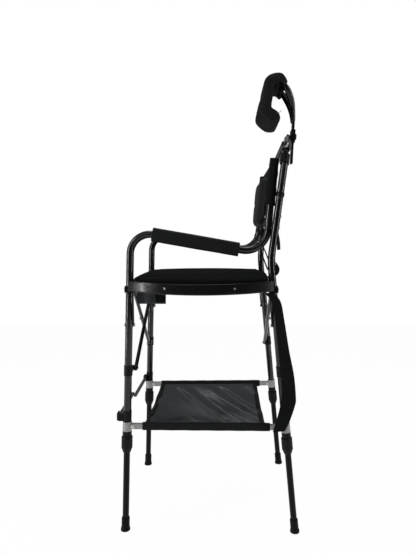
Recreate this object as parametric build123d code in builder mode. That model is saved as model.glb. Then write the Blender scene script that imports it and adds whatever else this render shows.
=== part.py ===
from build123d import *
from math import cos, radians, sin, sqrt, tan
import os

# A folding makeup chair, in millimetres. It faces -X, its width runs along Y, and +Z is up.
# "near" is the side at negative Y and "far" the side at positive Y.
sides = {"near": -1, "far": 1}
ends = ("front", "rear")

# Tubes and bars
tube_d = 23
tube_wall = 1.65
leg_d = 19.5
leg_wall = 1.2
brace_d = 12
footrest_d = 12
shelf_tube_d = 12
shelf_tube_wall = 1.2
pin_d = 6

# Clearances
slide_gap = 0.1
soft_gap = 0.3
face_gap = 0.3
weld = 2
overrun = 4

# The uprights stand a little outboard of the arm tubes, so that the two pass each other
rear_plane = 240
front_plane = 229
front_foot_x = -266.8
front_lean = radians(0.98)
rear_foot_x = 256.3
rear_lean = radians(5.057)

# Heights along the legs
foot_height = 39.5
leg_bottom = 8
lock_bottom = 241
lock_taper_top = 255
lock_top = 290.6
lock_sleeve_bottom = 291.3
lock_sleeve_top = 307.3
shelf_z = 321.6
bracket_height = 28.6
footrest_z = 349
footrest_sleeve_height = 33.5
footrest_sleeve_bottom = 336.4
lower_tube_top = 405
brace_low_z = 494
collar_height = 32
low_bolt_z = 634.5
high_bolt_z = 745
rail_z = 757
rail_droop = 6

# Upper frame
knee_z = 834
knee_radius = 300
upright_lean = radians(8)
arm_ref_x = -36
arm_ref_z = 889
arm_slope = radians(9.93)
front_bend_radius = 61
rear_bend_radius = 69
post_x = 175.5
post_z = 937
post_lean = radians(5.2)
post_top = 1145
low_rivet_z = 935
high_rivet_z = 969

# Back arch: two half hoops that hinge on the uprights and meet at the top
corner_start_z = 1113
corner_radius = 100
hinge_angle = radians(55)
shoulder_angle = radians(22)
arch_lean = radians(19.8)
arch_rise = 97.8
arch_hinge_gap = 12
socket_d = 29
socket_length = 34
socket_gap = 8
socket_end = 3
tongue_d = 14
tongue_thickness = 6
cheek_thickness = 4
cheek_d = 19
leaf_length = 44
leaf_height = 22
leaf_thickness = 5
plug_length = 6
arch_pin_d = 8
arch_pin_length = 11

# Buttons in the uprights
button_z = 1025
button_d = 7
button_out = 2.6
button_flange_d = 10
button_flange = 2

# Collars and brackets on the legs
collar_d = 26.5
lock_d = 34
lock_neck_d = 24
lock_sleeve_d = 28.5
foot_d = 29
foot_top_d = 25.5
foot_step = 5
bracket_d = 28
ear_length = 48
ear_width = 16
ear_height = 17
shelf_bolt_setback = 18
shelf_bolt_d = 5
shelf_head_d = 13
lug_reach = 32
lug_end = 7.5
lug_thickness = 3.7
lug_height = 15
bolt_d = 6
bolt_head_d = 10
bolt_head = 2.5
rail_bracket_height = 20
rail_bracket_wall = 2.5
strut_width = 11
strut_thickness = 4
strut_gap = 0.4

# The crossing braces: how far behind a leg's axis each one is at its top and at its foot,
# in shares of a brace's diameter
brace_shares = {
    ("front", "near"): (0.517, -0.05),
    ("front", "far"): (1.075, 1.483),
    ("rear", "near"): (-0.167, -1.3),
    ("rear", "far"): (1.667, 1.667),
}
brace_end = 8
spacer_d = 9

# Seat rails
rail_height = 33
rail_thickness = 10
rail_round = 4
rail_bow = 64
rail_front_x = -253
rail_rear_x = 187
rivet_d = 7
rivet_head = 2
rivet_setback = 118

# Arm pads
pad_front_x = -183
pad_rear_x = 85
pad_height = 44
pad_width = 47
pad_round = 9
pad_edge = 3

# Foot rest: two half bars side by side
footrest_front_x = -287.9
footrest_spacing = 12.3
footrest_sleeve_d = 25.5
footrest_block_height = 22
footrest_pivot_inset = 19
footrest_block_end = 8
footrest_tongue = 5
footrest_overlap = 10

# Shelf
mesh_front_x = -206
mesh_rear_x = 160
hem_height = 25
hem_width = 16
hem_round = 7
mesh_thickness = 2
mesh_sag = 15
mesh_fold = 5
mesh_sections = 6

# Seat
seat_bottom = 748.5
seat_lip_z = 757
seat_crown_z = 783
seat_dome_radius = 5200
seat_round = 9
seat_front_x = -242.5
seat_lip_x = -249
seat_lip_y = 205
seat_front_corner_x = -232
seat_rear_x = 187
seat_rear_corner_x = 172
seat_leg_y = 197

# Back sling and lumbar cushion
cloth = 3
cloth_sleeve = 1.8
sleeve_bottom_z = 1007
sling_top_z = 1150
sling_drop = 61
lumbar_width = 338
lumbar_height = 172
lumbar_depth = 30
lumbar_z = 1024
lumbar_round = 40
lumbar_edge = 13

# Headrest
stem_lean = radians(2.9)
stem_x = 280.9
stem_z = 1264
stem_bottom = 1168
stem_top = 1313
stem_depth = 8.5
stem_width = 28
clamp_wall = 3.2
clamp_height = 44
clamp_width = 44
clamp_boss_d = 16
knob_d = 22
knob_depth = 5.2
knob_shank_d = 5
fork_d = 12
fork_half = 50
fork_base_half = 13
fork_base_x = 282.5
fork_base_z = 1314
fork_bend_x = 273.5
fork_bend_z = 1383
fork_bend_inset = 20
fork_base_radius = 12
fork_bend_radius = 40
fork_eye_d = 16
fork_eye = 12
tilt_x = 241.5
tilt_z = 1441
tilt_pin_d = 8
tilt_bar_d = 13
tilt_bar_end = 4
tilt_shoulder = 4
fork_slot_drop = 60
fork_slot_inner = 8
fork_slot_outer = 1
pad_centre_x = 200
pad_centre_z = 1380
pad_tall = 200
headrest_half = 103

# Straps
strap_thickness = 2
strap_x = 161
strap_low_z = 313
strap_tall = 425
strap_foot_y = 246.5
strap_lean = radians(1.7)
flap_thickness = 3
flap_front_x = -234
flap_length = 91
flap_top_z = 748
flap_drop = 50
flap_y = 216
flap_round = 6

# Lengths that follow from the ones above
tube_r = tube_d / 2
leg_r = leg_d / 2
brace_r = brace_d / 2
pin_r = pin_d / 2
front_dir = Vector(sin(front_lean), 0, cos(front_lean))
rear_dir = Vector(-sin(rear_lean), 0, cos(rear_lean))
upright_dir = Vector(sin(upright_lean), 0, cos(upright_lean))
post_dir = Vector(sin(post_lean), 0, cos(post_lean))
arch_dir = Vector(sin(arch_lean), 0, cos(arch_lean))
arch_normal = Vector(cos(arch_lean), 0, -sin(arch_lean))
stem_dir = Vector(sin(stem_lean), 0, cos(stem_lean))
knee_x = rear_foot_x - knee_z * tan(rear_lean)
leg_planes = {"front": front_plane, "rear": rear_plane}


def leg_x(end, z):
    """Where the axis of the front or the rear leg is at a height."""
    if end == "front":
        return front_foot_x + z * tan(front_lean)
    return rear_foot_x - z * tan(rear_lean)


def leg_plane(end, side, z):
    """A plane across a leg at a height, with its x axis towards the rear."""
    lean = front_dir if end == "front" else rear_dir
    level = Vector(lean.Z, 0, -lean.X)
    return Plane((leg_x(end, z), side * leg_planes[end], z), x_dir=level, z_dir=lean)


def arm_z(x):
    """The height of the arm tube's axis."""
    return arm_ref_z - (x - arm_ref_x) * tan(arm_slope)


def post_axis_x(z):
    """Where the back post's axis is at a height."""
    return post_x + (z - post_z) * tan(post_lean)


def upright_point(side, z):
    """A point on the axis of the rearward leaning stretch of an upright."""
    return Vector(knee_x + (z - knee_z) * tan(upright_lean), side * rear_plane, z)


def rail_circle():
    """Centre and radius, in plan, of the far rail's bow."""
    clear = tube_r + soft_gap + rail_thickness / 2
    half_x = (rail_rear_x - rail_front_x) / 2
    middle_x = (rail_rear_x + rail_front_x) / 2
    start_y = front_plane + clear
    stop_y = rear_plane + clear
    top_y = (start_y + stop_y) / 2 + rail_bow
    slope = (stop_y - start_y) / (2 * half_x)
    squares = half_x**2 + (start_y**2 + stop_y**2) / 2 - top_y**2
    centre_y = squares / (start_y + stop_y - 2 * top_y)
    centre_x = middle_x + slope * ((start_y + stop_y) / 2 - centre_y)
    return centre_x, centre_y, sqrt((middle_x - centre_x) ** 2 + (top_y - centre_y) ** 2)


def rail_y(x, inset=0):
    """How far a rail's middle, or a line inside it, is from the chair's middle."""
    centre_x, centre_y, radius = rail_circle()
    return centre_y + sqrt((radius - inset) ** 2 - (x - centre_x) ** 2)


def tube(path, outer_d, wall):
    """A hollow round tube along a path."""
    with BuildPart() as made:
        with BuildSketch(Plane(origin=path @ 0, z_dir=path % 0)):
            Circle(outer_d / 2)
            Circle(outer_d / 2 - wall, mode=Mode.SUBTRACT)
        sweep(path=path)
    return made.part


def bar(path, outer_d):
    """A solid round bar along a path."""
    with BuildPart() as made:
        with BuildSketch(Plane(origin=path @ 0, z_dir=path % 0)):
            Circle(outer_d / 2)
        sweep(path=path)
    return made.part


def rod(start, stop, diameter):
    """A solid round bar from one point to another."""
    run = Vector(stop) - Vector(start)
    with BuildPart() as made:
        with BuildSketch(Plane(origin=start, z_dir=run)):
            Circle(diameter / 2)
        extrude(amount=run.length)
    return made.part


def turned(plane, outline):
    """A solid turned about a plane's normal, from points of radius and height."""
    section = Plane(plane.origin, x_dir=plane.x_dir, z_dir=-plane.y_dir)
    with BuildPart() as made:
        with BuildSketch(section):
            with BuildLine():
                Polyline(*outline, close=True)
            make_face()
        revolve(axis=Axis(plane.origin, plane.z_dir))
    return made.part


def ring(plane, outer_d, inner_d, height):
    """A plain ring that stands on a plane."""
    outer = outer_d / 2
    inner = inner_d / 2
    return turned(plane, [(inner, 0), (outer, 0), (outer, height), (inner, height)])


def block(plane, x_span, y_span, height):
    """A block that stands on a plane, between two places along its x and its y axis."""
    width = x_span[1] - x_span[0]
    depth = y_span[1] - y_span[0]
    with BuildPart() as made:
        with BuildSketch(plane):
            with Locations((x_span[0] + width / 2, y_span[0] + depth / 2)):
                Rectangle(width, depth)
        extrude(amount=height)
    return made.part


def headed(start, stop, shank_d, head_d, head):
    """A bolt or rivet whose shank runs between two points, with a head outside each."""
    run = (Vector(stop) - Vector(start)).normalized()
    with BuildPart() as made:
        add(rod(start - run * head, stop + run * head, shank_d))
        add(rod(start - run * head, start, head_d))
        add(rod(stop, stop + run * head, head_d))
    return made.part


def leg_bore(end, side, z):
    """The stretch of a leg that a collar at a height goes round."""
    plane = leg_plane(end, side, z)
    half = plane.z_dir * (collar_height + overrun)
    return rod(plane.origin - half, plane.origin + half, tube_d + 2 * slide_gap)


def brace_offset(end, name, place):
    """How far behind a leg's axis a brace is, at its top or at its foot."""
    return brace_shares[end, name][place] * brace_d


def lug(end, side, z, offset):
    """A plate from a collar inward, beside a brace's end, with the pin that the brace turns on."""
    plane = leg_plane(end, side, z)
    way = 1 if offset < 0 else -1
    near_face = offset + way * (brace_r + face_gap)
    faces = sorted((near_face, near_face + way * lug_thickness))
    span = sorted((0, -side * (lug_reach + lug_end)))
    middle = plane.from_local_coords((near_face + way * lug_thickness / 2, -side * lug_reach, 0))
    tip = plane.from_local_coords((offset - way * (brace_r + face_gap), -side * lug_reach, 0))
    with BuildPart() as made:
        add(block(plane.offset(-lug_height / 2), faces, span, lug_height))
        add(rod(middle, tip, pin_d))
        add(rod(tip, tip - plane.x_dir * (way * bolt_head / 2), spacer_d))
        add(leg_bore(end, side, z), mode=Mode.SUBTRACT)
    return made.part


def turn_path(start, side, up, first, last):
    """An arc of the hoop's corner, between two slopes measured up from the level."""
    inward = Vector(0, -side, 0)

    def at(angle):
        across = corner_radius * (sin(first) - sin(angle))
        rise = corner_radius * (cos(angle) - cos(first))
        return start + inward * across + up * rise

    return ThreePointArc(at(first), at((first + last) / 2), at(last))


def hinge_point(side):
    """Where a half hoop turns on its upright."""
    rise = upright_dir * (corner_radius * cos(hinge_angle))
    inset = corner_radius * (1 - sin(hinge_angle))
    return upright_point(side, corner_start_z) + rise - Vector(0, side * inset, 0)


def arch_top():
    """The middle of the hinge at the top of the back arch."""
    base = hinge_point(1)
    return Vector(base.X, 0, base.Z) + arch_dir * arch_rise


def finish(name, builder):
    """Label one finished piece and write it."""
    builder.part.label = name
    export_step(builder.part, f"parts/{name}.step")


def arm_tube(side):
    """Front leg, arm and back post, bent from one tube."""
    y = side * front_plane
    bottom_z = lock_top + face_gap
    slope = tan(arm_slope)
    level = arm_ref_z + arm_ref_x * slope
    corner_x = leg_x("front", level) / (1 + tan(front_lean) * slope)
    rear_x = post_axis_x(level) / (1 + tan(post_lean) * slope)
    points = [
        (leg_x("front", bottom_z), y, bottom_z),
        (corner_x, y, arm_z(corner_x)),
        (rear_x, y, arm_z(rear_x)),
        (post_axis_x(post_top), y, post_top),
    ]
    with BuildPart() as made:
        with BuildLine() as line:
            FilletPolyline(*points, radius=[front_bend_radius, rear_bend_radius])
        add(tube(line.wires()[0], tube_d, tube_wall))
    return made


def corner_wire(side, stop_gap):
    """The upper end of an upright's axis: the first part of the hoop's corner."""
    with BuildLine() as line:
        last = hinge_angle + stop_gap / corner_radius
        turn_path(upright_point(side, corner_start_z), side, upright_dir, radians(90), last)
    return line.wires()[0]


def rear_upright(side):
    """Rear leg and upright: one tube with a knee at the seat and a curve inward at the top."""
    bottom_z = lock_top + face_gap
    points = [
        (leg_x("rear", bottom_z), side * rear_plane, bottom_z),
        (knee_x, side * rear_plane, knee_z),
        upright_point(side, corner_start_z),
    ]
    last = hinge_angle + (socket_gap + socket_end + face_gap) / corner_radius
    hole = upright_point(side, button_z)
    with BuildPart() as made:
        with BuildLine() as line:
            FilletPolyline(*points, radius=knee_radius)
            turn_path(upright_point(side, corner_start_z), side, upright_dir, radians(90), last)
        add(tube(line.wires()[0], tube_d, tube_wall))
        out = hole + Vector(0, side * tube_d, 0)
        add(rod(hole, out, button_d + 2 * slide_gap), mode=Mode.SUBTRACT)
    return made


def hinge_button(side):
    """Snap button in an upright, with the flange that keeps it in."""
    axis = upright_point(side, button_z)
    out = Vector(0, side, 0)
    flange_top = sqrt((tube_r - tube_wall) ** 2 - (button_flange_d / 2) ** 2) - face_gap
    inner = axis + out * (flange_top - button_flange)
    with BuildPart() as made:
        add(rod(inner, axis + out * (tube_r + button_out), button_d))
        add(rod(inner, axis + out * flange_top, button_flange_d))
        top = made.faces().sort_by(Axis.Y)[-1 if side > 0 else 0]
        fillet(top.edges(), button_out / 2)
    return made


def half_arch(side):
    """One half of the back arch, with a tongue at its hinge and a flat leaf at the top."""
    hinge = hinge_point(side)
    top = arch_top()
    inward = Vector(0, -side, 0)

    def from_hinge(angle):
        across = corner_radius * (sin(hinge_angle) - sin(angle))
        return hinge + inward * across + arch_dir * (corner_radius * (cos(angle) - cos(hinge_angle)))

    first = hinge_angle - arch_hinge_gap / corner_radius
    start = from_hinge(first)
    shoulder = from_hinge(shoulder_angle)
    slope = (top - shoulder).normalized()
    leaf_start = top - slope * leaf_length
    low_side = face_gap if side < 0 else -(face_gap + leaf_thickness)
    leaf = Plane(top + arch_normal * low_side, x_dir=slope, z_dir=arch_normal)
    tongue_dir = (start - hinge).normalized()
    tongue_low = hinge - arch_normal * (tongue_thickness / 2)
    with BuildPart() as made:
        with BuildLine() as line:
            turn_path(start, side, arch_dir, first, shoulder_angle)
            Line(shoulder, leaf_start)
        run = line.wires()[0]
        add(tube(run, tube_d, tube_wall))
        add(rod(leaf_start - slope * plug_length, leaf_start, tube_d - tube_wall))
        add(rod(start, start + (run % 0) * plug_length, tube_d - tube_wall))
        with BuildSketch(leaf):
            Circle(leaf_height / 2)
            with Locations((-(leaf_length + plug_length / 2) / 2, 0)):
                Rectangle(leaf_length + plug_length / 2, leaf_height)
        extrude(amount=leaf_thickness)
        with BuildSketch(Plane(tongue_low, x_dir=tongue_dir, z_dir=arch_normal)):
            Circle(tongue_d / 2)
            with Locations(((arch_hinge_gap + weld) / 2, 0)):
                Rectangle(arch_hinge_gap + weld, tongue_d)
            Circle(pin_r + slide_gap, mode=Mode.SUBTRACT)
        extrude(amount=tongue_thickness)
        if side < 0:
            add(rod(top + arch_normal * face_gap, top + arch_normal * arch_pin_length, arch_pin_d))
    return made


def hinge_sleeve(side):
    """Plastic sleeve on an upright, with two cheeks and the pin that the half arch turns on."""
    hinge = hinge_point(side)
    turn = hinge_angle + (socket_length + socket_gap) / (2 * corner_radius)
    axis = (Vector(0, -side * cos(turn), 0) + upright_dir * sin(turn)).normalized()
    lower = hinge - axis * (socket_length + socket_gap)
    along = (axis - arch_normal * axis.dot(arch_normal)).normalized()
    with BuildPart() as made:
        add(rod(lower, hinge - axis * socket_gap, socket_d))
        for way in (-1, 1):
            start = hinge + arch_normal * (way * (tongue_thickness / 2 + face_gap))
            with BuildSketch(Plane(start, x_dir=along, z_dir=arch_normal * way)):
                Circle(cheek_d / 2)
                with Locations((-(socket_gap + weld) / 2, 0)):
                    Rectangle(socket_gap + weld, cheek_d)
            extrude(amount=cheek_thickness)
        half = tongue_thickness / 2 + face_gap + cheek_thickness
        add(rod(hinge - arch_normal * half, hinge + arch_normal * half, pin_d))
        bore = bar(corner_wire(side, socket_gap + socket_end), tube_d + 2 * slide_gap)
        add(bore, mode=Mode.SUBTRACT)
    return made


def seat_rail(side):
    """Bowed bar along one side of the seat."""
    half = (rail_front_x + rail_rear_x) / 2
    points = [
        (rail_front_x, side * rail_y(rail_front_x), rail_z),
        (half, side * rail_y(half), rail_z - rail_droop),
        (rail_rear_x, side * rail_y(rail_rear_x), rail_z),
    ]
    with BuildPart() as made:
        with BuildLine() as line:
            ThreePointArc(*points)
        run = line.wires()[0]
        with BuildSketch(Plane(origin=run @ 0, x_dir=(0, 0, 1), z_dir=run % 0)):
            RectangleRounded(rail_height, rail_thickness, rail_round)
        sweep(path=run)
    return made


def rail_brackets(side):
    """Clamps that carry a seat rail on both legs, each with a brace's upper lug."""
    name = "near" if side < 0 else "far"
    with BuildPart() as made:
        for end in ends:
            plane = leg_plane(end, side, high_bolt_z)
            half = tube_r + rail_bracket_wall
            inset = rail_thickness / 2 - face_gap
            rail_end = rail_front_x if end == "front" else rail_rear_x
            span = sorted((-side * half, side * (rail_y(rail_end, inset) - leg_planes[end])))
            low = plane.offset(-rail_bracket_height / 2)
            add(block(low, (-half, half), span, rail_bracket_height))
            add(lug(end, side, high_bolt_z, brace_offset(end, name, 0)))
            add(leg_bore(end, side, high_bolt_z), mode=Mode.SUBTRACT)
    return made


def rail_struts(side):
    """Flat bars from the lower bolts up and outward to the rail's underside."""
    with BuildPart() as made:
        for end in ends:
            behind = 1 if end == "front" else -1
            shift = behind * (tube_r + strut_gap + strut_thickness / 2)
            low = Vector(leg_x(end, low_bolt_z) + shift, side * leg_planes[end], low_bolt_z)
            high_x = leg_x(end, rail_z - rail_height / 2) + shift
            high = Vector(high_x, side * rail_y(high_x), rail_z - rail_height / 2)
            run = high - low
            flat = Vector(0, 1, 0).cross(run).normalized()
            with BuildSketch(Plane(low, x_dir=run, z_dir=flat)):
                Circle(strut_width / 2)
                with Locations((run.length / 2, 0)):
                    Rectangle(run.length, strut_width)
            extrude(amount=strut_thickness / 2, both=True)
    return made


def leg_sleeves(side):
    """The lower brace collars and the thin sleeves above the leg locks."""
    other = "far" if side < 0 else "near"
    with BuildPart() as made:
        for end in ends:
            low = leg_plane(end, side, brace_low_z - collar_height / 2)
            add(ring(low, collar_d, tube_d + 2 * slide_gap, collar_height))
            add(lug(end, side, brace_low_z, brace_offset(end, other, 1)))
            base = leg_plane(end, side, lock_sleeve_bottom)
            height = lock_sleeve_top - lock_sleeve_bottom
            add(ring(base, lock_sleeve_d, tube_d + 2 * slide_gap, height))
    return made


def shelf_end(end, side, reach):
    """A point on a shelf rail's axis, so far from a leg's axis towards the other leg."""
    front = Vector(leg_x("front", shelf_z), side * front_plane, shelf_z)
    rear = Vector(leg_x("rear", shelf_z), side * rear_plane, shelf_z)
    run = (rear - front).normalized()
    return front + run * reach if end == "front" else rear - run * reach


def shelf_brackets(side):
    """Rings on both legs with the ears that hold a shelf rail."""
    with BuildPart() as made:
        for end in ends:
            low = leg_plane(end, side, shelf_z - bracket_height / 2)
            centre = shelf_end(end, side, 0)
            run = (shelf_end(end, side, ear_length) - centre).normalized()
            add(ring(low, bracket_d, tube_d + 2 * slide_gap, bracket_height))
            with BuildSketch(Plane(centre, x_dir=(0, 0, 1), z_dir=run)):
                RectangleRounded(ear_height, ear_width, ear_width / 4)
            extrude(amount=ear_length)
            add(leg_bore(end, side, shelf_z), mode=Mode.SUBTRACT)
            inner = centre + run * (ear_length / 2 - face_gap)
            outer = centre + run * (ear_length + overrun)
            add(rod(inner, outer, shelf_tube_d), mode=Mode.SUBTRACT)
    return made


def shelf_rail(side):
    """Tube along one side of the shelf, held in the two ears."""
    with BuildPart() as made:
        with BuildLine() as line:
            Line(shelf_end("front", side, ear_length / 2), shelf_end("rear", side, ear_length / 2))
        add(tube(line.wires()[0], shelf_tube_d, shelf_tube_wall))
    return made


def frame_bolts(side):
    """Every bolt and rivet of one side frame."""
    across = Vector(0, side, 0)
    with BuildPart() as made:
        for end in ends:
            behind = 1 if end == "front" else -1
            high = leg_plane(end, side, high_bolt_z)
            half = high.x_dir * (tube_r + rail_bracket_wall)
            add(headed(high.origin - half, high.origin + half, bolt_d, bolt_head_d, bolt_head))
            low = leg_plane(end, side, low_bolt_z)
            bare = low.origin - low.x_dir * (behind * tube_r)
            strut = low.origin + low.x_dir * (behind * (tube_r + strut_gap + strut_thickness))
            add(headed(bare, strut, bolt_d, bolt_head_d, bolt_head))
            shelf = shelf_end(end, side, shelf_bolt_setback)
            reach = across * (ear_width / 2)
            add(headed(shelf - reach, shelf + reach, shelf_bolt_d, shelf_head_d, bolt_head))
        for z in (low_rivet_z, high_rivet_z):
            post = Vector(post_axis_x(z), side * front_plane, z)
            upright = upright_point(side, z)
            run = (upright - post).normalized() * tube_r
            add(headed(post - run, upright + run, bolt_d, rivet_d, rivet_head))
        centre_x, centre_y, radius = rail_circle()
        for x in (rail_front_x + rivet_setback, rail_rear_x - rivet_setback):
            middle = Vector(x, side * rail_y(x), rail_z - rail_droop / 2)
            out = Vector(x - centre_x, side * (rail_y(x) - centre_y), 0).normalized()
            add(rod(middle, middle + out * (rail_thickness / 2 + rivet_head), rivet_d))
    return made


def arm_pad(side):
    """Square-ended foam pad round the arm tube."""
    start = Vector(pad_front_x, side * front_plane, arm_z(pad_front_x))
    stop = Vector(pad_rear_x, side * front_plane, arm_z(pad_rear_x))
    run = stop - start
    with BuildPart() as made:
        with BuildSketch(Plane(start, x_dir=(0, 1, 0), z_dir=run)):
            RectangleRounded(pad_width, pad_height, pad_round)
        extrude(amount=run.length)
        caps = made.faces().sort_by(Axis(start, run))
        fillet(caps[0].edges() + caps[-1].edges(), pad_edge)
        bore = rod(start - run * 0.1, stop + run * 0.1, tube_d + 2 * soft_gap)
        add(bore, mode=Mode.SUBTRACT)
    return made


def lower_leg(end, side):
    """The thin tube that slides inside a leg, down to its foot."""
    with BuildPart() as made:
        with BuildLine() as line:
            Line(leg_plane(end, side, leg_bottom).origin, leg_plane(end, side, lower_tube_top).origin)
        add(tube(line.wires()[0], leg_d, leg_wall))
    return made


def foot(end, side):
    """Rubber foot: a stepped cup with a flat bottom."""
    base = leg_plane(end, side, -overrun)
    tall = foot_height + overrun
    outline = [
        (0, 0),
        (foot_d / 2, 0),
        (foot_d / 2, overrun + foot_step),
        (foot_top_d / 2, overrun + 2 * foot_step),
        (foot_top_d / 2, tall),
        (0, tall),
    ]
    with BuildPart() as made:
        add(turned(base, outline))
        fillet(made.faces().sort_by(Axis.Z)[-1].edges(), foot_step / 4)
        cup = leg_plane(end, side, leg_bottom)
        add(rod(cup.origin, cup.origin + cup.z_dir * tall, leg_d + 2 * slide_gap), mode=Mode.SUBTRACT)
        split(bisect_by=Plane.XY, keep=Keep.TOP)
    return made


def lock_collar(end, side):
    """Twist lock under a leg tube: a cylinder that narrows below."""
    base = leg_plane(end, side, lock_bottom)
    inner = leg_r + slide_gap
    taper = lock_taper_top - lock_bottom
    tall = lock_top - lock_bottom
    outline = [
        (inner, 0),
        (lock_neck_d / 2, 0),
        (lock_d / 2, taper),
        (lock_d / 2, tall),
        (inner, tall),
    ]
    with BuildPart() as made:
        add(turned(base, outline))
    return made


def footrest_pivot(side):
    """Where a half of the foot rest turns."""
    x = footrest_front_x + (0 if side < 0 else footrest_spacing)
    return Vector(x, side * (front_plane - footrest_pivot_inset), footrest_z)


def footrest_sleeve(side):
    """Sleeve on a front leg with the fork that holds half of the foot rest."""
    pivot = footrest_pivot(side)
    base = leg_plane("front", side, footrest_sleeve_bottom)
    fork = Plane(Vector(pivot.X, 0, footrest_z - footrest_block_height / 2))
    half = footrest_d / 2 + slide_gap
    inner_end = pivot.Y - side * footrest_block_end
    span = sorted((side * front_plane, inner_end))
    slot_span = sorted((pivot.Y + side * footrest_block_end, inner_end - side * overrun))
    slot_half = footrest_tongue / 2 + slide_gap
    slot_height = footrest_block_height + 2 * overrun
    ahead = Vector(half, 0, 0)
    with BuildPart() as made:
        add(ring(base, footrest_sleeve_d, tube_d + 2 * slide_gap, footrest_sleeve_height))
        add(block(fork, (-half, half), span, footrest_block_height))
        back = leg_x("front", footrest_z) - pivot.X
        middle = side * front_plane
        add(block(fork, (0, back), (middle - half, middle + half), footrest_block_height))
        add(leg_bore("front", side, footrest_z), mode=Mode.SUBTRACT)
        slot = block(fork.offset(-overrun), (-slot_half, slot_half), slot_span, slot_height)
        add(slot, mode=Mode.SUBTRACT)
        add(rod(pivot - ahead, pivot + ahead, pin_d))
    return made


def footrest_bar(side):
    """Half of the foot rest, with a flat tongue in its fork."""
    pivot = footrest_pivot(side)
    shoulder = pivot - Vector(0, side * (footrest_block_end + footrest_d / 2), 0)
    stop = Vector(pivot.X, side * -footrest_overlap, footrest_z)
    tongue = Plane(pivot - Vector(footrest_tongue / 2, 0, 0), x_dir=(0, 1, 0), z_dir=(1, 0, 0))
    half_run = footrest_block_end + footrest_d
    with BuildPart() as made:
        add(rod(shoulder, stop, footrest_d))
        with BuildSketch(tongue):
            Circle(footrest_block_end - face_gap)
            with Locations((-side * half_run / 2, 0)):
                Rectangle(half_run, footrest_d - 2 * slide_gap)
            Circle(pin_r + slide_gap, mode=Mode.SUBTRACT)
        extrude(amount=footrest_tongue)
        if side < 0:
            middle = Vector(pivot.X, 0, footrest_z)
            add(rod(middle - Vector(footrest_d / 2 + rivet_head, 0, 0), middle, rivet_d))
    return made


def brace_points(end, name):
    """The axis of a brace: from its lug under the seat to its collar on the other side."""
    side = sides[name]
    high = (brace_offset(end, name, 0), -side * lug_reach, 0)
    deep = (brace_offset(end, name, 1), side * lug_reach, 0)
    top = leg_plane(end, side, high_bolt_z).from_local_coords(high)
    low = leg_plane(end, -side, brace_low_z).from_local_coords(deep)
    return top, low


def brace(end, name):
    """A straight bar from high on one leg to low on the other."""
    top, low = brace_points(end, name)
    run = (low - top).normalized() * brace_end
    pin = leg_plane(end, 1, brace_low_z).x_dir * brace_d
    with BuildPart() as made:
        add(rod(top - run, low + run, brace_d))
        fillet(made.edges().filter_by(GeomType.CIRCLE), brace_r / 3)
        add(rod(top - pin, top + pin, pin_d + 2 * slide_gap), mode=Mode.SUBTRACT)
        add(rod(low - pin, low + pin, pin_d + 2 * slide_gap), mode=Mode.SUBTRACT)
    return made


def brace_rivet(end):
    """The rivet where two braces cross, with a spacer where they are apart."""
    near_top, near_low = brace_points(end, "near")
    far_top, far_low = brace_points(end, "far")
    normal = leg_plane(end, 1, brace_low_z).x_dir
    cross = (near_top + near_low) / 2
    gap = (far_top + far_low) / 2 - cross
    free = gap.dot(normal) - brace_r - face_gap
    front = cross - normal * brace_r
    with BuildPart() as made:
        add(rod(front - normal * bolt_head, front, bolt_head_d))
        add(rod(front, cross + normal * (brace_r - face_gap), pin_d))
        if free > brace_d:
            add(rod(cross + normal * (brace_r - weld), cross + normal * free, spacer_d))
    return made


def clamp_plane():
    """The middle of the headrest clamp, across the stem, with its x axis to the rear."""
    return Plane((stem_x, 0, stem_z), x_dir=(cos(stem_lean), 0, -sin(stem_lean)), z_dir=stem_dir)


def headrest_clamp():
    """Block behind the arch's top hinge, with a slot for the headrest's stem."""
    plane = clamp_plane()
    top = arch_top()
    half_x = stem_depth / 2 + slide_gap + clamp_wall
    slot_x = stem_depth / 2 + slide_gap
    slot_y = stem_width / 2 + slide_gap
    boss_start = top + arch_normal * (face_gap * 2 + leaf_thickness)
    pin_stop = top + arch_normal * (arch_pin_length + face_gap)
    with BuildPart() as made:
        with BuildSketch(plane.offset(-clamp_height / 2)):
            RectangleRounded(2 * half_x, clamp_width, clamp_wall)
        extrude(amount=clamp_height)
        add(rod(boss_start, pin_stop + arch_normal * face_gap, clamp_boss_d))
        slot = block(plane.offset(-clamp_height), (-slot_x, slot_x), (-slot_y, slot_y), 2 * clamp_height)
        add(slot, mode=Mode.SUBTRACT)
        add(rod(boss_start, pin_stop, arch_pin_d + 2 * slide_gap), mode=Mode.SUBTRACT)
        hole = plane.origin + plane.x_dir * (half_x + overrun)
        add(rod(plane.origin, hole, knob_shank_d + 2 * slide_gap), mode=Mode.SUBTRACT)
    return made


def clamp_knob():
    """Turning knob that tightens the clamp on the stem."""
    plane = clamp_plane()
    seat = plane.origin + plane.x_dir * (stem_depth / 2 + slide_gap + clamp_wall + face_gap)
    tip = plane.origin + plane.x_dir * (stem_depth / 2 + face_gap)
    with BuildPart() as made:
        add(rod(seat, seat + plane.x_dir * knob_depth, knob_d))
        fillet(made.faces().sort_by(Axis.X)[-1].edges(), knob_depth / 4)
        add(rod(tip, seat + plane.x_dir * weld, knob_shank_d))
    return made


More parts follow.
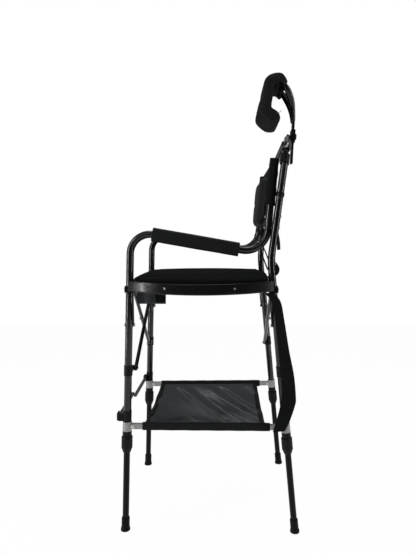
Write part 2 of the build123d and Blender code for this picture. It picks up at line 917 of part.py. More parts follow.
def headrest_fork():
    """Flat stem and the bent bar whose two eyes carry the headrest."""
    foot_point = clamp_plane().origin + stem_dir * ((stem_bottom - stem_z) / cos(stem_lean))
    base = Plane(foot_point, x_dir=clamp_plane().x_dir, z_dir=stem_dir)
    bend_half = fork_half - fork_bend_inset
    points = [
        (tilt_x, -fork_half, tilt_z),
        (fork_bend_x, -bend_half, fork_bend_z),
        (fork_base_x, -fork_base_half, fork_base_z),
        (fork_base_x, fork_base_half, fork_base_z),
        (fork_bend_x, bend_half, fork_bend_z),
        (tilt_x, fork_half, tilt_z),
    ]
    radii = [fork_bend_radius, fork_base_radius, fork_base_radius, fork_bend_radius]
    with BuildPart() as made:
        with BuildLine() as line:
            FilletPolyline(*points, radius=radii)
        add(bar(line.wires()[0], fork_d))
        with BuildSketch(base):
            RectangleRounded(stem_depth, stem_width, stem_depth / 4)
        extrude(amount=stem_top - stem_bottom)
        for side in sides.values():
            inner = Vector(tilt_x, side * (fork_half - fork_eye / 2), tilt_z)
            across = Vector(0, side * fork_eye, 0)
            add(rod(inner, inner + across, fork_eye_d))
            hole = rod(inner - across, inner + across * 2, tilt_pin_d + 2 * slide_gap)
            add(hole, mode=Mode.SUBTRACT)
    return made


def tilt_bar():
    """Bar inside the headrest's upper roll, which turns in the fork's two eyes."""
    pivot = Vector(tilt_x, 0, tilt_z)
    inner = Vector(0, fork_half - fork_eye / 2 - tilt_shoulder, 0)
    outer = Vector(0, fork_half + fork_eye / 2 + face_gap, 0)
    last = outer + Vector(0, tilt_bar_end, 0)
    with BuildPart() as made:
        add(rod(pivot - last, pivot + last, tilt_pin_d))
        add(rod(pivot - inner, pivot + inner, tilt_bar_d))
        for way in (-1, 1):
            add(rod(pivot + outer * way, pivot + last * way, tilt_bar_d))
    return made


# Outline of the headrest's middle, in shares of the pad's height: each point is a place on the
# middle line of the padding and the way from there to the skin
headrest_shares = [
    ((0.21, 0.26), (-0.0497, -0.0054)),
    ((0.1445, 0.3335), (-0.0203, -0.0693)),
    ((0.0378, 0.3212), (0.0512, -0.0703)),
    ((-0.0453, 0.2444), (0.0787, -0.0506)),
    ((-0.0626, 0.1341), (0.0884, 0.0029)),
    ((-0.0721, 0.0212), (0.0884, -0.0223)),
    ((-0.1043, -0.088), (0.1034, -0.0277)),
    ((-0.1158, -0.1999), (0.1161, 0.0295)),
    ((-0.0391, -0.2793), (0.0534, 0.0943)),
    ((0.06, -0.335), (0.0496, 0.0751)),
    ((0.06, -0.335), (0.0751, -0.0496)),
    ((0.06, -0.335), (-0.0496, -0.0751)),
    ((-0.0391, -0.2793), (-0.0534, -0.0943)),
    ((-0.1158, -0.1999), (-0.1161, -0.0295)),
    ((-0.1043, -0.088), (-0.1034, 0.0277)),
    ((-0.0721, 0.0212), (-0.0884, 0.0223)),
    ((-0.0626, 0.1341), (-0.0884, -0.0029)),
    ((-0.0453, 0.2444), (-0.0787, 0.0506)),
    ((0.0378, 0.3212), (-0.0512, 0.0703)),
    ((0.1445, 0.3335), (0.0203, 0.0693)),
    ((0.21, 0.26), (0.0497, 0.0054)),
    ((0.21, 0.26), (0.0054, -0.0497)),
]
# How thick the padding is at places across, both in shares
headrest_width_shares = [(-1, 0.5), (-0.9, 0.78), (-0.5, 0.96), (0, 1), (0.5, 0.96), (0.9, 0.78), (1, 0.5)]


def headrest_section(y, share):
    """The headrest's closed outline across one place along its width."""
    points = []
    for middle, skin in headrest_shares:
        points.append(tuple((middle[k] + skin[k] * share) * pad_tall for k in (0, 1)))
    points.append(points[0])
    section = Plane((pad_centre_x, y, pad_centre_z), x_dir=(1, 0, 0), z_dir=(0, -1, 0))
    with BuildSketch(section) as made:
        with BuildLine():
            for k in range(0, len(points) - 2, 2):
                ThreePointArc(*points[k:k + 3])
        make_face()
    return made.sketch


def headrest_pad():
    """Padded headrest: a hook in section, with a neck roll below and drawn-in ends."""
    bore_half = fork_half + fork_eye / 2 + 2 * face_gap + tilt_bar_end
    bore = Vector(0, bore_half, 0)
    pivot = Vector(tilt_x, 0, tilt_z)
    eye_r = fork_eye_d / 2 + soft_gap
    slot = Plane(pivot - Vector(0, 0, fork_slot_drop))
    slot_inner = fork_half - fork_eye / 2 - fork_slot_inner
    slot_outer = fork_half + fork_eye / 2 + fork_slot_outer
    with BuildPart() as made:
        for y_share, share in headrest_width_shares:
            add(headrest_section(y_share * headrest_half, share))
        loft()
        add(rod(pivot - bore, pivot + bore, tilt_bar_d + 2 * soft_gap), mode=Mode.SUBTRACT)
        for side in sides.values():
            span = sorted((side * slot_inner, side * slot_outer))
            add(block(slot, (-eye_r, fork_slot_drop), span, fork_slot_drop + eye_r), mode=Mode.SUBTRACT)
    return made


def seat_pad():
    """Padded seat sling: bowed sides, a crowned top and corners cut round the legs."""
    inset = rail_thickness / 2 + soft_gap
    front_x = seat_front_corner_x + weld
    rear_x = seat_rear_corner_x - weld
    middle_x = (seat_front_corner_x + seat_rear_corner_x) / 2
    dome = Vector(middle_x, 0, seat_crown_z - seat_dome_radius)
    with BuildPart() as made:
        with BuildSketch(Plane.XY.offset(seat_bottom)):
            with BuildLine():
                front_near = (seat_front_corner_x, -seat_leg_y)
                front_far = (seat_front_corner_x, seat_leg_y)
                rear_near = (seat_rear_corner_x, -seat_leg_y)
                rear_far = (seat_rear_corner_x, seat_leg_y)
                side_y = [rail_y(x, inset) for x in (front_x, middle_x, rear_x)]
                ThreePointArc(front_near, (seat_front_x, 0), front_far)
                Line(front_far, (front_x, side_y[0]))
                ThreePointArc((front_x, side_y[0]), (middle_x, side_y[1]), (rear_x, side_y[2]))
                Line((rear_x, side_y[2]), rear_far)
                ThreePointArc(rear_far, (seat_rear_x, 0), rear_near)
                Line(rear_near, (rear_x, -side_y[2]))
                ThreePointArc((rear_x, -side_y[2]), (middle_x, -side_y[1]), (front_x, -side_y[0]))
                Line((front_x, -side_y[0]), front_near)
            make_face()
        extrude(amount=seat_crown_z + overrun - seat_bottom)
        lip = Plane.XY.offset(seat_lip_z)
        span = (-seat_lip_y, seat_lip_y)
        add(block(lip, (seat_lip_x, middle_x), span, seat_crown_z + overrun - seat_lip_z))
        with Locations(dome):
            Sphere(seat_dome_radius, mode=Mode.INTERSECT)
        fillet(made.faces().sort_by(Axis.Z)[-1].edges(), seat_round)
    return made


def post_plane(z):
    """The back sling's plane at a height, facing forward, with its x axis across the chair."""
    return Plane((post_axis_x(z), 0, z), x_dir=(0, -1, 0), z_dir=(-cos(post_lean), 0, sin(post_lean)))


def back_sling():
    """Back panel between the posts, with a sleeve round each and a curved lower edge."""
    tall = (sling_top_z - sleeve_bottom_z) / cos(post_lean)
    bore_tall = (post_top + soft_gap - sleeve_bottom_z) / cos(post_lean)
    sleeve_r = tube_r + soft_gap + cloth_sleeve
    edge = front_plane
    with BuildPart() as made:
        with BuildSketch(post_plane(sleeve_bottom_z).offset(-cloth / 2)):
            with BuildLine():
                Polyline((-edge, 0), (-edge, tall), (edge, tall), (edge, 0))
                ThreePointArc((edge, 0), (0, -sling_drop), (-edge, 0))
            make_face()
        extrude(amount=cloth)
        for side in sides.values():
            start = Vector(post_axis_x(sleeve_bottom_z), side * front_plane, sleeve_bottom_z)
            add(rod(start, start + post_dir * tall, 2 * sleeve_r))
            bore = rod(start - post_dir * tube_d * 2, start + post_dir * bore_tall, tube_d + 2 * soft_gap)
            add(bore, mode=Mode.SUBTRACT)
    return made


def lumbar_cushion():
    """Plump cushion in front of the back sling."""
    face = post_plane(lumbar_z).offset(cloth / 2 + soft_gap)
    dome_r = lumbar_width * 2
    dome = face.origin + face.z_dir * (lumbar_depth - dome_r)
    with BuildPart() as made:
        with BuildSketch(face):
            RectangleRounded(lumbar_width, lumbar_height, lumbar_round)
        extrude(amount=lumbar_depth + overrun)
        with Locations(dome):
            Sphere(dome_r, mode=Mode.INTERSECT)
        crown = made.faces().sort_by(Axis(face.origin, face.z_dir))[-1]
        fillet(crown.edges(), lumbar_edge)
    return made


def shelf_mesh():
    """Sagging mesh between the shelf rails, with a hem round each."""
    lower = -mesh_thickness / 2
    upper = mesh_thickness / 2
    with BuildPart() as made:
        for step in range(mesh_sections + 1):
            x = mesh_front_x + (mesh_rear_x - mesh_front_x) * step / mesh_sections
            rail = shelf_end("front", 1, x - leg_x("front", shelf_z))
            half = rail.Y - hem_width / 2 + weld
            drop = mesh_sag + (mesh_fold if step % 2 else 0)
            with BuildSketch(Plane((x, 0, shelf_z), x_dir=(0, 1, 0), z_dir=(1, 0, 0))):
                with BuildLine():
                    ThreePointArc((-half, lower), (0, lower - drop), (half, lower))
                    Line((half, lower), (half, upper))
                    ThreePointArc((half, upper), (0, upper - drop), (-half, upper))
                    Line((-half, upper), (-half, lower))
                make_face()
        loft()
        for side in sides.values():
            start = shelf_end("front", side, ear_length + face_gap)
            stop = shelf_end("rear", side, ear_length + face_gap)
            run = stop - start
            with BuildSketch(Plane(start, x_dir=(0, 0, 1), z_dir=run)):
                RectangleRounded(hem_height, hem_width, hem_round)
            extrude(amount=run.length)
            past = run.normalized() * overrun
            add(rod(start - past, stop + past, shelf_tube_d + 2 * soft_gap), mode=Mode.SUBTRACT)
    return made


def closure_flap():
    """Flat flap that hangs under the seat's near edge, by the front leg."""
    middle = Vector(flap_front_x + flap_length / 2, -flap_y, flap_top_z - flap_drop / 2)
    with BuildPart() as made:
        with BuildSketch(Plane(middle, x_dir=(1, 0, 0), z_dir=(0, -1, 0))):
            RectangleRounded(flap_length, flap_drop, flap_round)
        extrude(amount=flap_thickness)
    return made


# Outline of the carry strap, in shares of its height from its lower front corner: its rear edge
# from the top down, then its front edge back up
strap_rear_shares = [
    (0.06588, 1), (0.1153, 0.9341), (0.1412, 0.8047), (0.1765, 0.5882), (0.2118, 0.4094),
    (0.2259, 0.2541), (0.2212, 0.1953), (0.1812, 0.07529), (0.1459, 0.004706),
]
strap_front_shares = [
    (0.06118, 0), (0.08941, 0.09176), (0.1176, 0.2071), (0.1247, 0.2753), (0.1176, 0.4094),
    (0.09882, 0.5882), (0.07529, 0.8047), (0.04941, 0.9341), (0, 1),
]


def carry_strap():
    """Webbing strap that hangs beside the near rear leg, from the rail to the shelf bracket."""
    hanging = Plane((0, -strap_foot_y, 0), x_dir=(1, 0, 0), z_dir=(0, -cos(strap_lean), -sin(strap_lean)))

    def edge(shares):
        return [(strap_x + x * strap_tall, strap_low_z + z * strap_tall) for x, z in shares]

    rear = edge(strap_rear_shares)
    front = edge(strap_front_shares)
    with BuildPart() as made:
        with BuildSketch(hanging):
            with BuildLine():
                Spline(*rear)
                Line(rear[-1], front[0])
                Spline(*front)
                Line(front[-1], rear[0])
            make_face()
        extrude(amount=strap_thickness)
    return made


os.makedirs("parts", exist_ok=True)

for name, side in sides.items():
    finish(f"{name}_arm_tube", arm_tube(side))
    finish(f"{name}_rear_upright", rear_upright(side))
    finish(f"{name}_hinge_button", hinge_button(side))
    finish(f"{name}_arch", half_arch(side))
    finish(f"{name}_hinge_sleeve", hinge_sleeve(side))
    finish(f"{name}_seat_rail", seat_rail(side))
    finish(f"{name}_rail_brackets", rail_brackets(side))
    finish(f"{name}_rail_struts", rail_struts(side))
    finish(f"{name}_leg_sleeves", leg_sleeves(side))
    finish(f"{name}_shelf_brackets", shelf_brackets(side))
    finish(f"{name}_shelf_rail", shelf_rail(side))
    finish(f"{name}_frame_bolts", frame_bolts(side))
    finish(f"{name}_arm_pad", arm_pad(side))
    finish(f"{name}_footrest_sleeve", footrest_sleeve(side))
    finish(f"{name}_footrest_bar", footrest_bar(side))
    for end in ends:
        finish(f"{name}_{end}_lower_leg", lower_leg(end, side))
        finish(f"{name}_{end}_foot", foot(end, side))
        finish(f"{name}_{end}_lock_collar", lock_collar(end, side))
        finish(f"{name}_{end}_brace", brace(end, name))

for end in ends:
    finish(f"{end}_brace_rivet", brace_rivet(end))

finish("headrest_clamp", headrest_clamp())
finish("clamp_knob", clamp_knob())
finish("headrest_fork", headrest_fork())
finish("tilt_bar", tilt_bar())
finish("headrest_pad", headrest_pad())
finish("seat_pad", seat_pad())
finish("back_sling", back_sling())
finish("lumbar_cushion", lumbar_cushion())
finish("shelf_mesh", shelf_mesh())
finish("closure_flap", closure_flap())
finish("carry_strap", carry_strap())
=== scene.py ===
import bmesh
import bpy
import numpy as np
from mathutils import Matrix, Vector


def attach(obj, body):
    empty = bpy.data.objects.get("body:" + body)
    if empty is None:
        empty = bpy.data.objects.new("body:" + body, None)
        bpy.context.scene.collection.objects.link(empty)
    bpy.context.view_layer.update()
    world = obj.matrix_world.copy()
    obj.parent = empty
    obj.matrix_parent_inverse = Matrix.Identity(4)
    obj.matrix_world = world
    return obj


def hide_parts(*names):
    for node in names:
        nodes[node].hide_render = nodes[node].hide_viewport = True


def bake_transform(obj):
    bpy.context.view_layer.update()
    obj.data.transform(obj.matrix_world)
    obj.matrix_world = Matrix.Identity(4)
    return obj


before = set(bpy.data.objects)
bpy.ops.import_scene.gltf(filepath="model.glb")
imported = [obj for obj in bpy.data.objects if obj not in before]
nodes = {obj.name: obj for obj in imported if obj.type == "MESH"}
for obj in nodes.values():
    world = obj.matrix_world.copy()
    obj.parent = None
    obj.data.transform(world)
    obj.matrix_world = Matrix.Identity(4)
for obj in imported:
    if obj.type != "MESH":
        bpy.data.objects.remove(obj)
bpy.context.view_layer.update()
print("frame loaded", len(nodes), "nodes")

# Places shared by several pieces, in metres, as in the solids
chair = {"frontY": 0.229, "rearY": 0.24, "frontFootX": -0.2668, "frontSlope": 0.0171, "rearFootX": 0.2563,
         "rearSlope": -0.0885, "kneeZ": 0.834, "uprightLean": np.radians(8), "postX": 0.1755, "postZ": 0.937,
         "postLean": np.radians(5.2)}
sides = {"near": -1.0, "far": 1.0}


def unit(v):
    v = np.asarray(v, float)
    return v / np.linalg.norm(v, axis=-1, keepdims=True)


# 0 before a, 1 after b, and a smooth cubic between them
def smooth(a, b, x):
    t = np.clip((x - a) / (b - a), 0, 1)
    return t * t * (3 - 2 * t)


# A bell curve of x: 1 in the middle and nearly 0 past twice the width
def bell(x, width):
    return np.exp(-((x / width) ** 2))


# One minus a power of x: 1 in the middle and 0 at -1 and 1
def fade(x, power=2):
    return 1 - np.abs(x) ** power


# Sum of six sine waves in fixed random directions: a soft, repeatable unevenness about -1 to 1
def ripple(p, scale, seed):
    rng = np.random.default_rng(seed)
    out = np.zeros(p.shape[:-1])
    for k in range(6):
        out += np.sin(p @ (rng.normal(size=3) * scale * (0.6 + 0.25 * k)) + rng.uniform(0, 6.28))
    return out / 6


def addObject(name, data):
    obj = bpy.data.objects.new(name, data)
    bpy.context.scene.collection.objects.link(obj)
    return obj


def addMesh(name, verts, faces, uvs=None):
    mesh = bpy.data.meshes.new(name)
    mesh.from_pydata(verts.tolist(), [], faces)
    if uvs is not None:
        layer = mesh.uv_layers.new(name="clothUV")
        layer.data.foreach_set("uv", np.asarray(uvs, np.float32).ravel())
    mesh.polygons.foreach_set("use_smooth", np.ones(len(mesh.polygons), bool))
    return addObject(name, mesh)


# A grid of points as a skin. UVs are metres along the rows and the columns; caps close the two end rows
# with a pole each, and fix welds the points that meet and turns the faces outward
def surface(name, pts, closeRows=False, closeCols=False, caps=False, fix=True):
    rows, cols = pts.shape[:2]
    along = np.linalg.norm(np.diff(np.concatenate([pts, pts[:1]]), axis=0), axis=-1).mean(1)
    across = np.linalg.norm(np.diff(np.concatenate([pts, pts[:, :1]], axis=1), axis=1), axis=-1).mean(0)
    v = np.concatenate([[0], np.cumsum(along)])
    u = np.concatenate([[0], np.cumsum(across)])
    lastRow, lastCol = rows if closeRows else rows - 1, cols if closeCols else cols - 1
    i, j = [k.ravel() for k in np.meshgrid(np.arange(lastRow), np.arange(lastCol), indexing="ij")]
    ni, nj = (i + 1) % rows, (j + 1) % cols
    quads = np.stack([i * cols + j, i * cols + nj, ni * cols + nj, ni * cols + j], 1)
    uv = np.stack([u[j], v[i], u[j + 1], v[i], u[j + 1], v[i + 1], u[j], v[i + 1]], 1).reshape(-1, 2)
    verts = pts.reshape(-1, 3)
    faces = quads.tolist()
    if caps:
        k = np.arange(lastCol)
        nk = (k + 1) % cols
        verts = np.concatenate([verts, pts[0].mean(0)[None], pts[-1].mean(0)[None]])
        base, top = rows * cols, rows * cols + 1
        faces += np.stack([np.full_like(k, base), nk, k], 1).tolist()
        last = (rows - 1) * cols
        faces += np.stack([np.full_like(k, top), last + k, last + nk], 1).tolist()
        edge = 0 * u[k]
        ends = np.stack([u[k], edge, u[k + 1], edge, u[k], edge], 1)
        uv = np.concatenate([uv, ends.reshape(-1, 2), (ends + [0, v[-2]] * 3).reshape(-1, 2)])
    obj = addMesh(name, verts, faces, uv)
    if fix:
        tidyNormals(obj)
    return obj


# Lets change work on an object's mesh
def editMesh(obj, change):
    work = bmesh.new()
    work.from_mesh(obj.data)
    change(work)
    work.to_mesh(obj.data)
    work.free()


def tidyNormals(obj, merge=1e-6):
    def change(work):
        bmesh.ops.remove_doubles(work, verts=work.verts, dist=merge)
        bmesh.ops.recalc_face_normals(work, faces=work.faces)

    editMesh(obj, change)


def applyModifiers(obj):
    depsgraph = bpy.context.evaluated_depsgraph_get()
    done = bpy.data.meshes.new_from_object(obj.evaluated_get(depsgraph))
    obj.modifiers.clear()
    obj.data = done


# A sheet of cloth whose points are in the middle of its thickness
def clothSheet(name, pts, thickness):
    obj = surface(name, pts, fix=False)
    wall = obj.modifiers.new("wall", "SOLIDIFY")
    wall.thickness = thickness
    wall.offset = 0
    applyModifiers(obj)
    tidyNormals(obj)
    return obj


def subdivide(obj):
    sub = obj.modifiers.new("soft", "SUBSURF")
    sub.levels = sub.render_levels = 1
    applyModifiers(obj)


# Two unit vectors across a path at each of its points: one nearest up, one beside it
def frames(path, up):
    tangent = unit(np.gradient(path, axis=0))
    side = unit(np.cross(tangent, up))
    return np.cross(side, tangent), side


# A closed profile of (beside, above) points at each point of a path; it may differ from point to point
def carried(path, profile, up):
    above, beside = frames(path, np.asarray(up, float))
    profile = np.broadcast_to(np.asarray(profile, float), (len(path),) + np.shape(profile)[-2:])
    return path[:, None] + beside[:, None] * profile[..., :1] + above[:, None] * profile[..., 1:]


def sweep(name, path, profile, up=(0, 0, 1), closePath=False):
    return surface(name, carried(np.asarray(path, float), profile, up), closePath, True, not closePath)


# The angles of count places evenly spread round a circle
def around(count):
    return np.arange(count) * 2 * np.pi / count


# Shares from -1 to 1, closer together near the ends, and a square grid of them
def rimSpread(count):
    return np.sin(np.linspace(-np.pi / 2, np.pi / 2, count))


def rimGrid(count):
    return np.meshgrid(rimSpread(count), rimSpread(count), indexing="ij")


def circle(radius, count):
    a = around(count)
    return np.stack([np.cos(a) * radius, np.sin(a) * radius], 1)


# A closed outline of (radius, height) turned about an axis; grip(angle, radius, height) is added to the
# radius
def turned(name, base, axis, profile, count, grip=None):
    base, axis = np.asarray(base, float), unit(axis)
    flat = unit(np.cross(axis, [0, 1, 0]))
    other = np.cross(axis, flat)
    a = around(count)
    profile = np.asarray(profile, float)
    radius, height = profile[:, None, 0], profile[:, None, 1]
    if grip is not None:
        radius = radius + grip(a[None], radius, height)
    outward = np.cos(a)[:, None] * flat + np.sin(a)[:, None] * other
    pts = base + outward[None] * radius[..., None] + axis * height[..., None]
    return surface(name, pts, closeRows=True, closeCols=True)


def legPoint(end, side, z):
    return np.array([chair[end + "FootX"] + chair[end + "Slope"] * z, side * chair[end + "Y"], z])


# Where the axis of a rear upright is, above its knee
def uprightX(z):
    return legPoint("rear", 1, chair["kneeZ"])[0] + (z - chair["kneeZ"]) * np.tan(chair["uprightLean"])


def legAxis(end):
    return unit(legPoint(end, 1, 1.0) - legPoint(end, 1, 0.0))


# Cloth filled with air: remesh evenly, blow up, and hold each point within cap of where it was
def puff(obj, voxel, pressure, cap, steps):
    remesh = obj.modifiers.new("even", "REMESH")
    remesh.mode = "VOXEL"
    remesh.voxel_size = voxel
    applyModifiers(obj)
    obj.data.polygons.foreach_set("use_smooth", np.ones(len(obj.data.polygons), bool))
    start = meshPoints(obj)
    cloth = obj.modifiers.new("air", "CLOTH")
    cloth.settings.use_pressure = True
    cloth.settings.uniform_pressure_force = pressure
    cloth.settings.effector_weights.gravity = 0
    for step in range(1, steps + 1):
        bpy.context.scene.frame_set(step)
    applyModifiers(obj)
    bpy.context.scene.frame_set(1)
    move = meshPoints(obj) - start
    far = np.linalg.norm(move, axis=1, keepdims=True)
    setPoints(obj, start + move * np.minimum(1, cap / np.maximum(far, 1e-9)))


# The places of a mesh's points, or their normals
def meshPoints(obj, what="co"):
    values = np.empty(len(obj.data.vertices) * 3, np.float32)
    obj.data.vertices.foreach_get(what, values)
    return values.reshape(-1, 3).astype(float)


def setPoints(obj, co):
    obj.data.vertices.foreach_set("co", np.asarray(co, np.float32).ravel())
    obj.data.update()


def setFinish(obj, key):
    obj.data.materials.clear()
    obj.data.materials.append(finishes[key])


def finishPiece(obj, key, body=None, replaced=()):
    setFinish(obj, key)
    if body:
        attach(obj, body)
    if replaced:
        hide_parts(*replaced)
    return obj


# Bakes a soft piece's placement into its mesh
def spanSides(obj):
    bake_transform(obj)


# One output of a node, so that shader maths reads as plain arithmetic
class Sock:
    def __init__(self, graph, out):
        self.graph, self.out = graph, out

    def math(self, operation, other=None):
        ins = [self] if other is None else [self, other]
        return self.graph.add("Math", dict(enumerate(ins)), operation=operation)

    def __add__(self, o): return self.math("ADD", o)
    def __sub__(self, o): return self.math("SUBTRACT", o)
    def __mul__(self, o): return self.math("MULTIPLY", o)
    def __abs__(self): return self.math("ABSOLUTE")
    def __gt__(self, o): return self.math("GREATER_THAN", o)
    def sin(self): return self.math("SINE")
    def clamp(self): return self.math("MAXIMUM", 0.0).math("MINIMUM", 1.0)


# The node tree of a material or of the world, built by one add method
class Graph:
    def __init__(self, name, kind="materials"):
        self.material = getattr(bpy.data, kind).new(name)
        self.material.use_nodes = True
        self.tree = self.material.node_tree
        self.tree.nodes.clear()
        self.output = self.tree.nodes.new(f"ShaderNodeOutput{'Material' if kind == 'materials' else 'World'}")

    def add(self, kind, inputs=None, out=0, **settings):
        node = self.tree.nodes.new("ShaderNode" + kind)
        for key, value in settings.items():
            setattr(node, key, value)
        for key, value in (inputs or {}).items():
            if isinstance(value, Sock):
                self.tree.links.new(value.out, node.inputs[key])
            else:
                node.inputs[key].default_value = value
        return Sock(self, node.outputs[out])

    def place(self):
        return self.add("TexCoord", out=3)

    def clothPlace(self):
        return self.add("UVMap", uv_map="clothUV")

    def split(self, vector):
        node = self.tree.nodes.new("ShaderNodeSeparateXYZ")
        self.tree.links.new(vector.out, node.inputs[0])
        return [Sock(self, node.outputs[k]) for k in range(3)]

    def noise(self, place, scale, detail=3.0, roughness=0.5):
        return self.add("TexNoise", {"Vector": place, "Scale": scale, "Detail": detail, "Roughness": roughness})

    def mix(self, factor, a, b):
        rgba = [c if isinstance(c, Sock) else (*c, 1.0) for c in (a, b)]
        return self.add("Mix", {0: factor, 6: rgba[0], 7: rgba[1]}, 2, data_type="RGBA")

    def bump(self, height, distance, strength=1.0):
        return self.add("Bump", {"Height": height, "Distance": distance, "Strength": strength})

    def finish(self, **inputs):
        names = {key: key.replace("_", " ") for key in inputs}
        return self.show(self.add("BsdfPrincipled", {names[k]: v for k, v in inputs.items()}))

    def show(self, shader):
        self.tree.links.new(shader.out, self.output.inputs[0])
        return self.material


# A grey with a little more blue
def grey(shade, blue=1.05):
    return shade, shade, shade * blue


# Powder coat: fine orange peel as bump, and roughness that follows a soft cloud, where only the cloud's
# highest places are rubbed: paler and rougher, by the share wear
def blackPaint(name, shade, gloss, coat, wear, shine):
    g = Graph(name)
    at = g.place()
    peel = g.noise(at, 900.0, 2.0)
    cloud = g.noise(at, 22.0, 2.0, 0.4)
    rubbed = ((cloud - 0.62) * 6.0).clamp()
    colour = g.mix(rubbed * wear, grey(shade, 1.1), grey(shade * 4))
    rough = cloud * 0.08 + (gloss - 0.04) + rubbed * (wear * 0.8)
    return g.finish(Base_Color=colour, Roughness=rough, Normal=g.bump(peel, 0.00003, 0.05),
                    Coat_Weight=coat, Coat_Roughness=0.07, Specular_IOR_Level=shine)


# Bright metal: noise drawn out along the floor's plane as fine lines in the roughness and bump, and cloudy
# spots of grime that darken and dull it
def metal(name, shade, rough, brushed=True, metallic=1.0):
    g = Graph(name)
    at = g.place()
    x, y, z = g.split(at)
    drawn = g.add("CombineXYZ", {0: x * 60.0, 1: y * 60.0, 2: z * 2400.0})
    lines = g.noise(drawn, 1.0, 2.0) if brushed else g.noise(at, 700.0)
    grime = ((g.noise(at, 60.0, 5.0, 0.65) - 0.5) * 3.0).clamp()
    colour = g.mix(grime * 0.4, grey(shade, 0.98), (shade * 0.5, shade * 0.49, shade * 0.46))
    return g.finish(Base_Color=colour, Metallic=metallic, Roughness=lines * 0.12 + (rough - 0.06) + grime * 0.15,
                    Normal=g.bump(lines, 0.00003, 0.4))


# Moulded plastic or rubber: a fine noise as its spark-eroded grain, and a broad one in shade and roughness
def moulded(name, shade, rough, grain=1500.0, depth=0.00005, shine=0.35):
    g = Graph(name)
    at = g.place()
    fine = g.noise(at, grain, 2.0)
    broad = g.noise(at, 35.0, 3.0)
    colour = g.mix(broad * 0.6, grey(shade), (shade * 1.9, shade * 1.9, shade * 2))
    return g.finish(Base_Color=colour, Roughness=broad * 0.18 + (rough - 0.09), Normal=g.bump(fine, depth, 0.6),
                    Specular_IOR_Level=shine)


# Plain weave: the height is half of each thread's wave and a quarter of their product, plus slubs. The shade
# follows that height and a broad cloud, with specks of lint on top
def wovenCloth(name, shade, pitch, useUV=True, depth=0.00016, rough=0.82, lint=0.3, alpha=None, shine=0.12):
    g = Graph(name)
    at = g.clothPlace() if useUV else g.place()
    x, y, z = g.split(at)
    k = np.pi / pitch
    if not useUV:
        x, y = x + z * 0.35, y + z * 0.8
    warp, weft = (x * k).sin(), (y * k).sin()
    thread = abs(warp) * 0.5 + abs(weft) * 0.5 + warp * weft * 0.25
    home = g.place()
    slub = g.noise(home, 420.0, 2.0)
    cloud = g.noise(home, 14.0, 4.0, 0.6)
    dust = ((g.noise(home, 260.0, 5.0, 0.7) - 0.6) * 5.0).clamp()
    tone = (thread * 0.5 + cloud * 0.5).clamp()
    base = g.mix(tone, (shade * 0.5, shade * 0.55, shade * 0.6), (shade * 1.5, shade * 1.65, shade * 1.8))
    colour = g.mix(dust * lint, base, grey(shade * 4))
    extra = {"Alpha": alpha(g, at)} if alpha else {}
    return g.finish(Base_Color=colour, Roughness=cloud * 0.12 + (rough - 0.06), Sheen_Weight=0.02,
                    Specular_IOR_Level=shine, Normal=g.bump(thread + slub * 0.6, depth, 0.7), **extra)


# Knitted or foam-backed cover: the height is half of small cells plus soft creases, and the shade follows
# the cells and a broad cloud. A panel is a part of the cover in a paler shade, given as a mask
def padCloth(name, shade, cell, rough, shine, panel=None, pale=1.0):
    g = Graph(name)
    at = g.place()
    cells = g.add("TexVoronoi", {"Vector": at, "Scale": cell})
    crease = g.noise(at, 55.0, 4.0, 0.6)
    cloud = g.noise(at, 12.0, 3.0)
    tone = (cells * 0.5 + cloud * 0.6).clamp()
    colour = g.mix(tone, (shade * 0.55, shade * 0.6, shade * 0.65), (shade * 1.6, shade * 1.75, shade * 1.9))
    if panel:
        bright = shade * pale
        light = g.mix(tone, grey(bright * 0.8, 1.0), (bright * 1.3, bright * 1.3, bright * 1.4))
        colour = g.mix(panel(g, at), colour, light)
    return g.finish(Base_Color=colour, Roughness=cloud * 0.14 + (rough - 0.07), Sheen_Weight=0.01,
                    Specular_IOR_Level=shine, Normal=g.bump(cells * 0.5 + crease * 1.6, 0.00012, 0.7))


# Open where both threads' waves are high: about a twelfth of the cloth
def meshHoles(g, at):
    x, y, z = g.split(at)
    k = np.pi / 0.0016
    gap = (abs((x * k).sin()) > 0.9) * (abs((y * k).sin()) > 0.9)
    return gap * -0.95 + 1.0


# The headrest's end panels: past its seam, softened over a millimetre or two
def endPanel(g, at):
    x, y, z = g.split(at)
    return ((abs(y) - 0.0925) * 600.0).clamp()


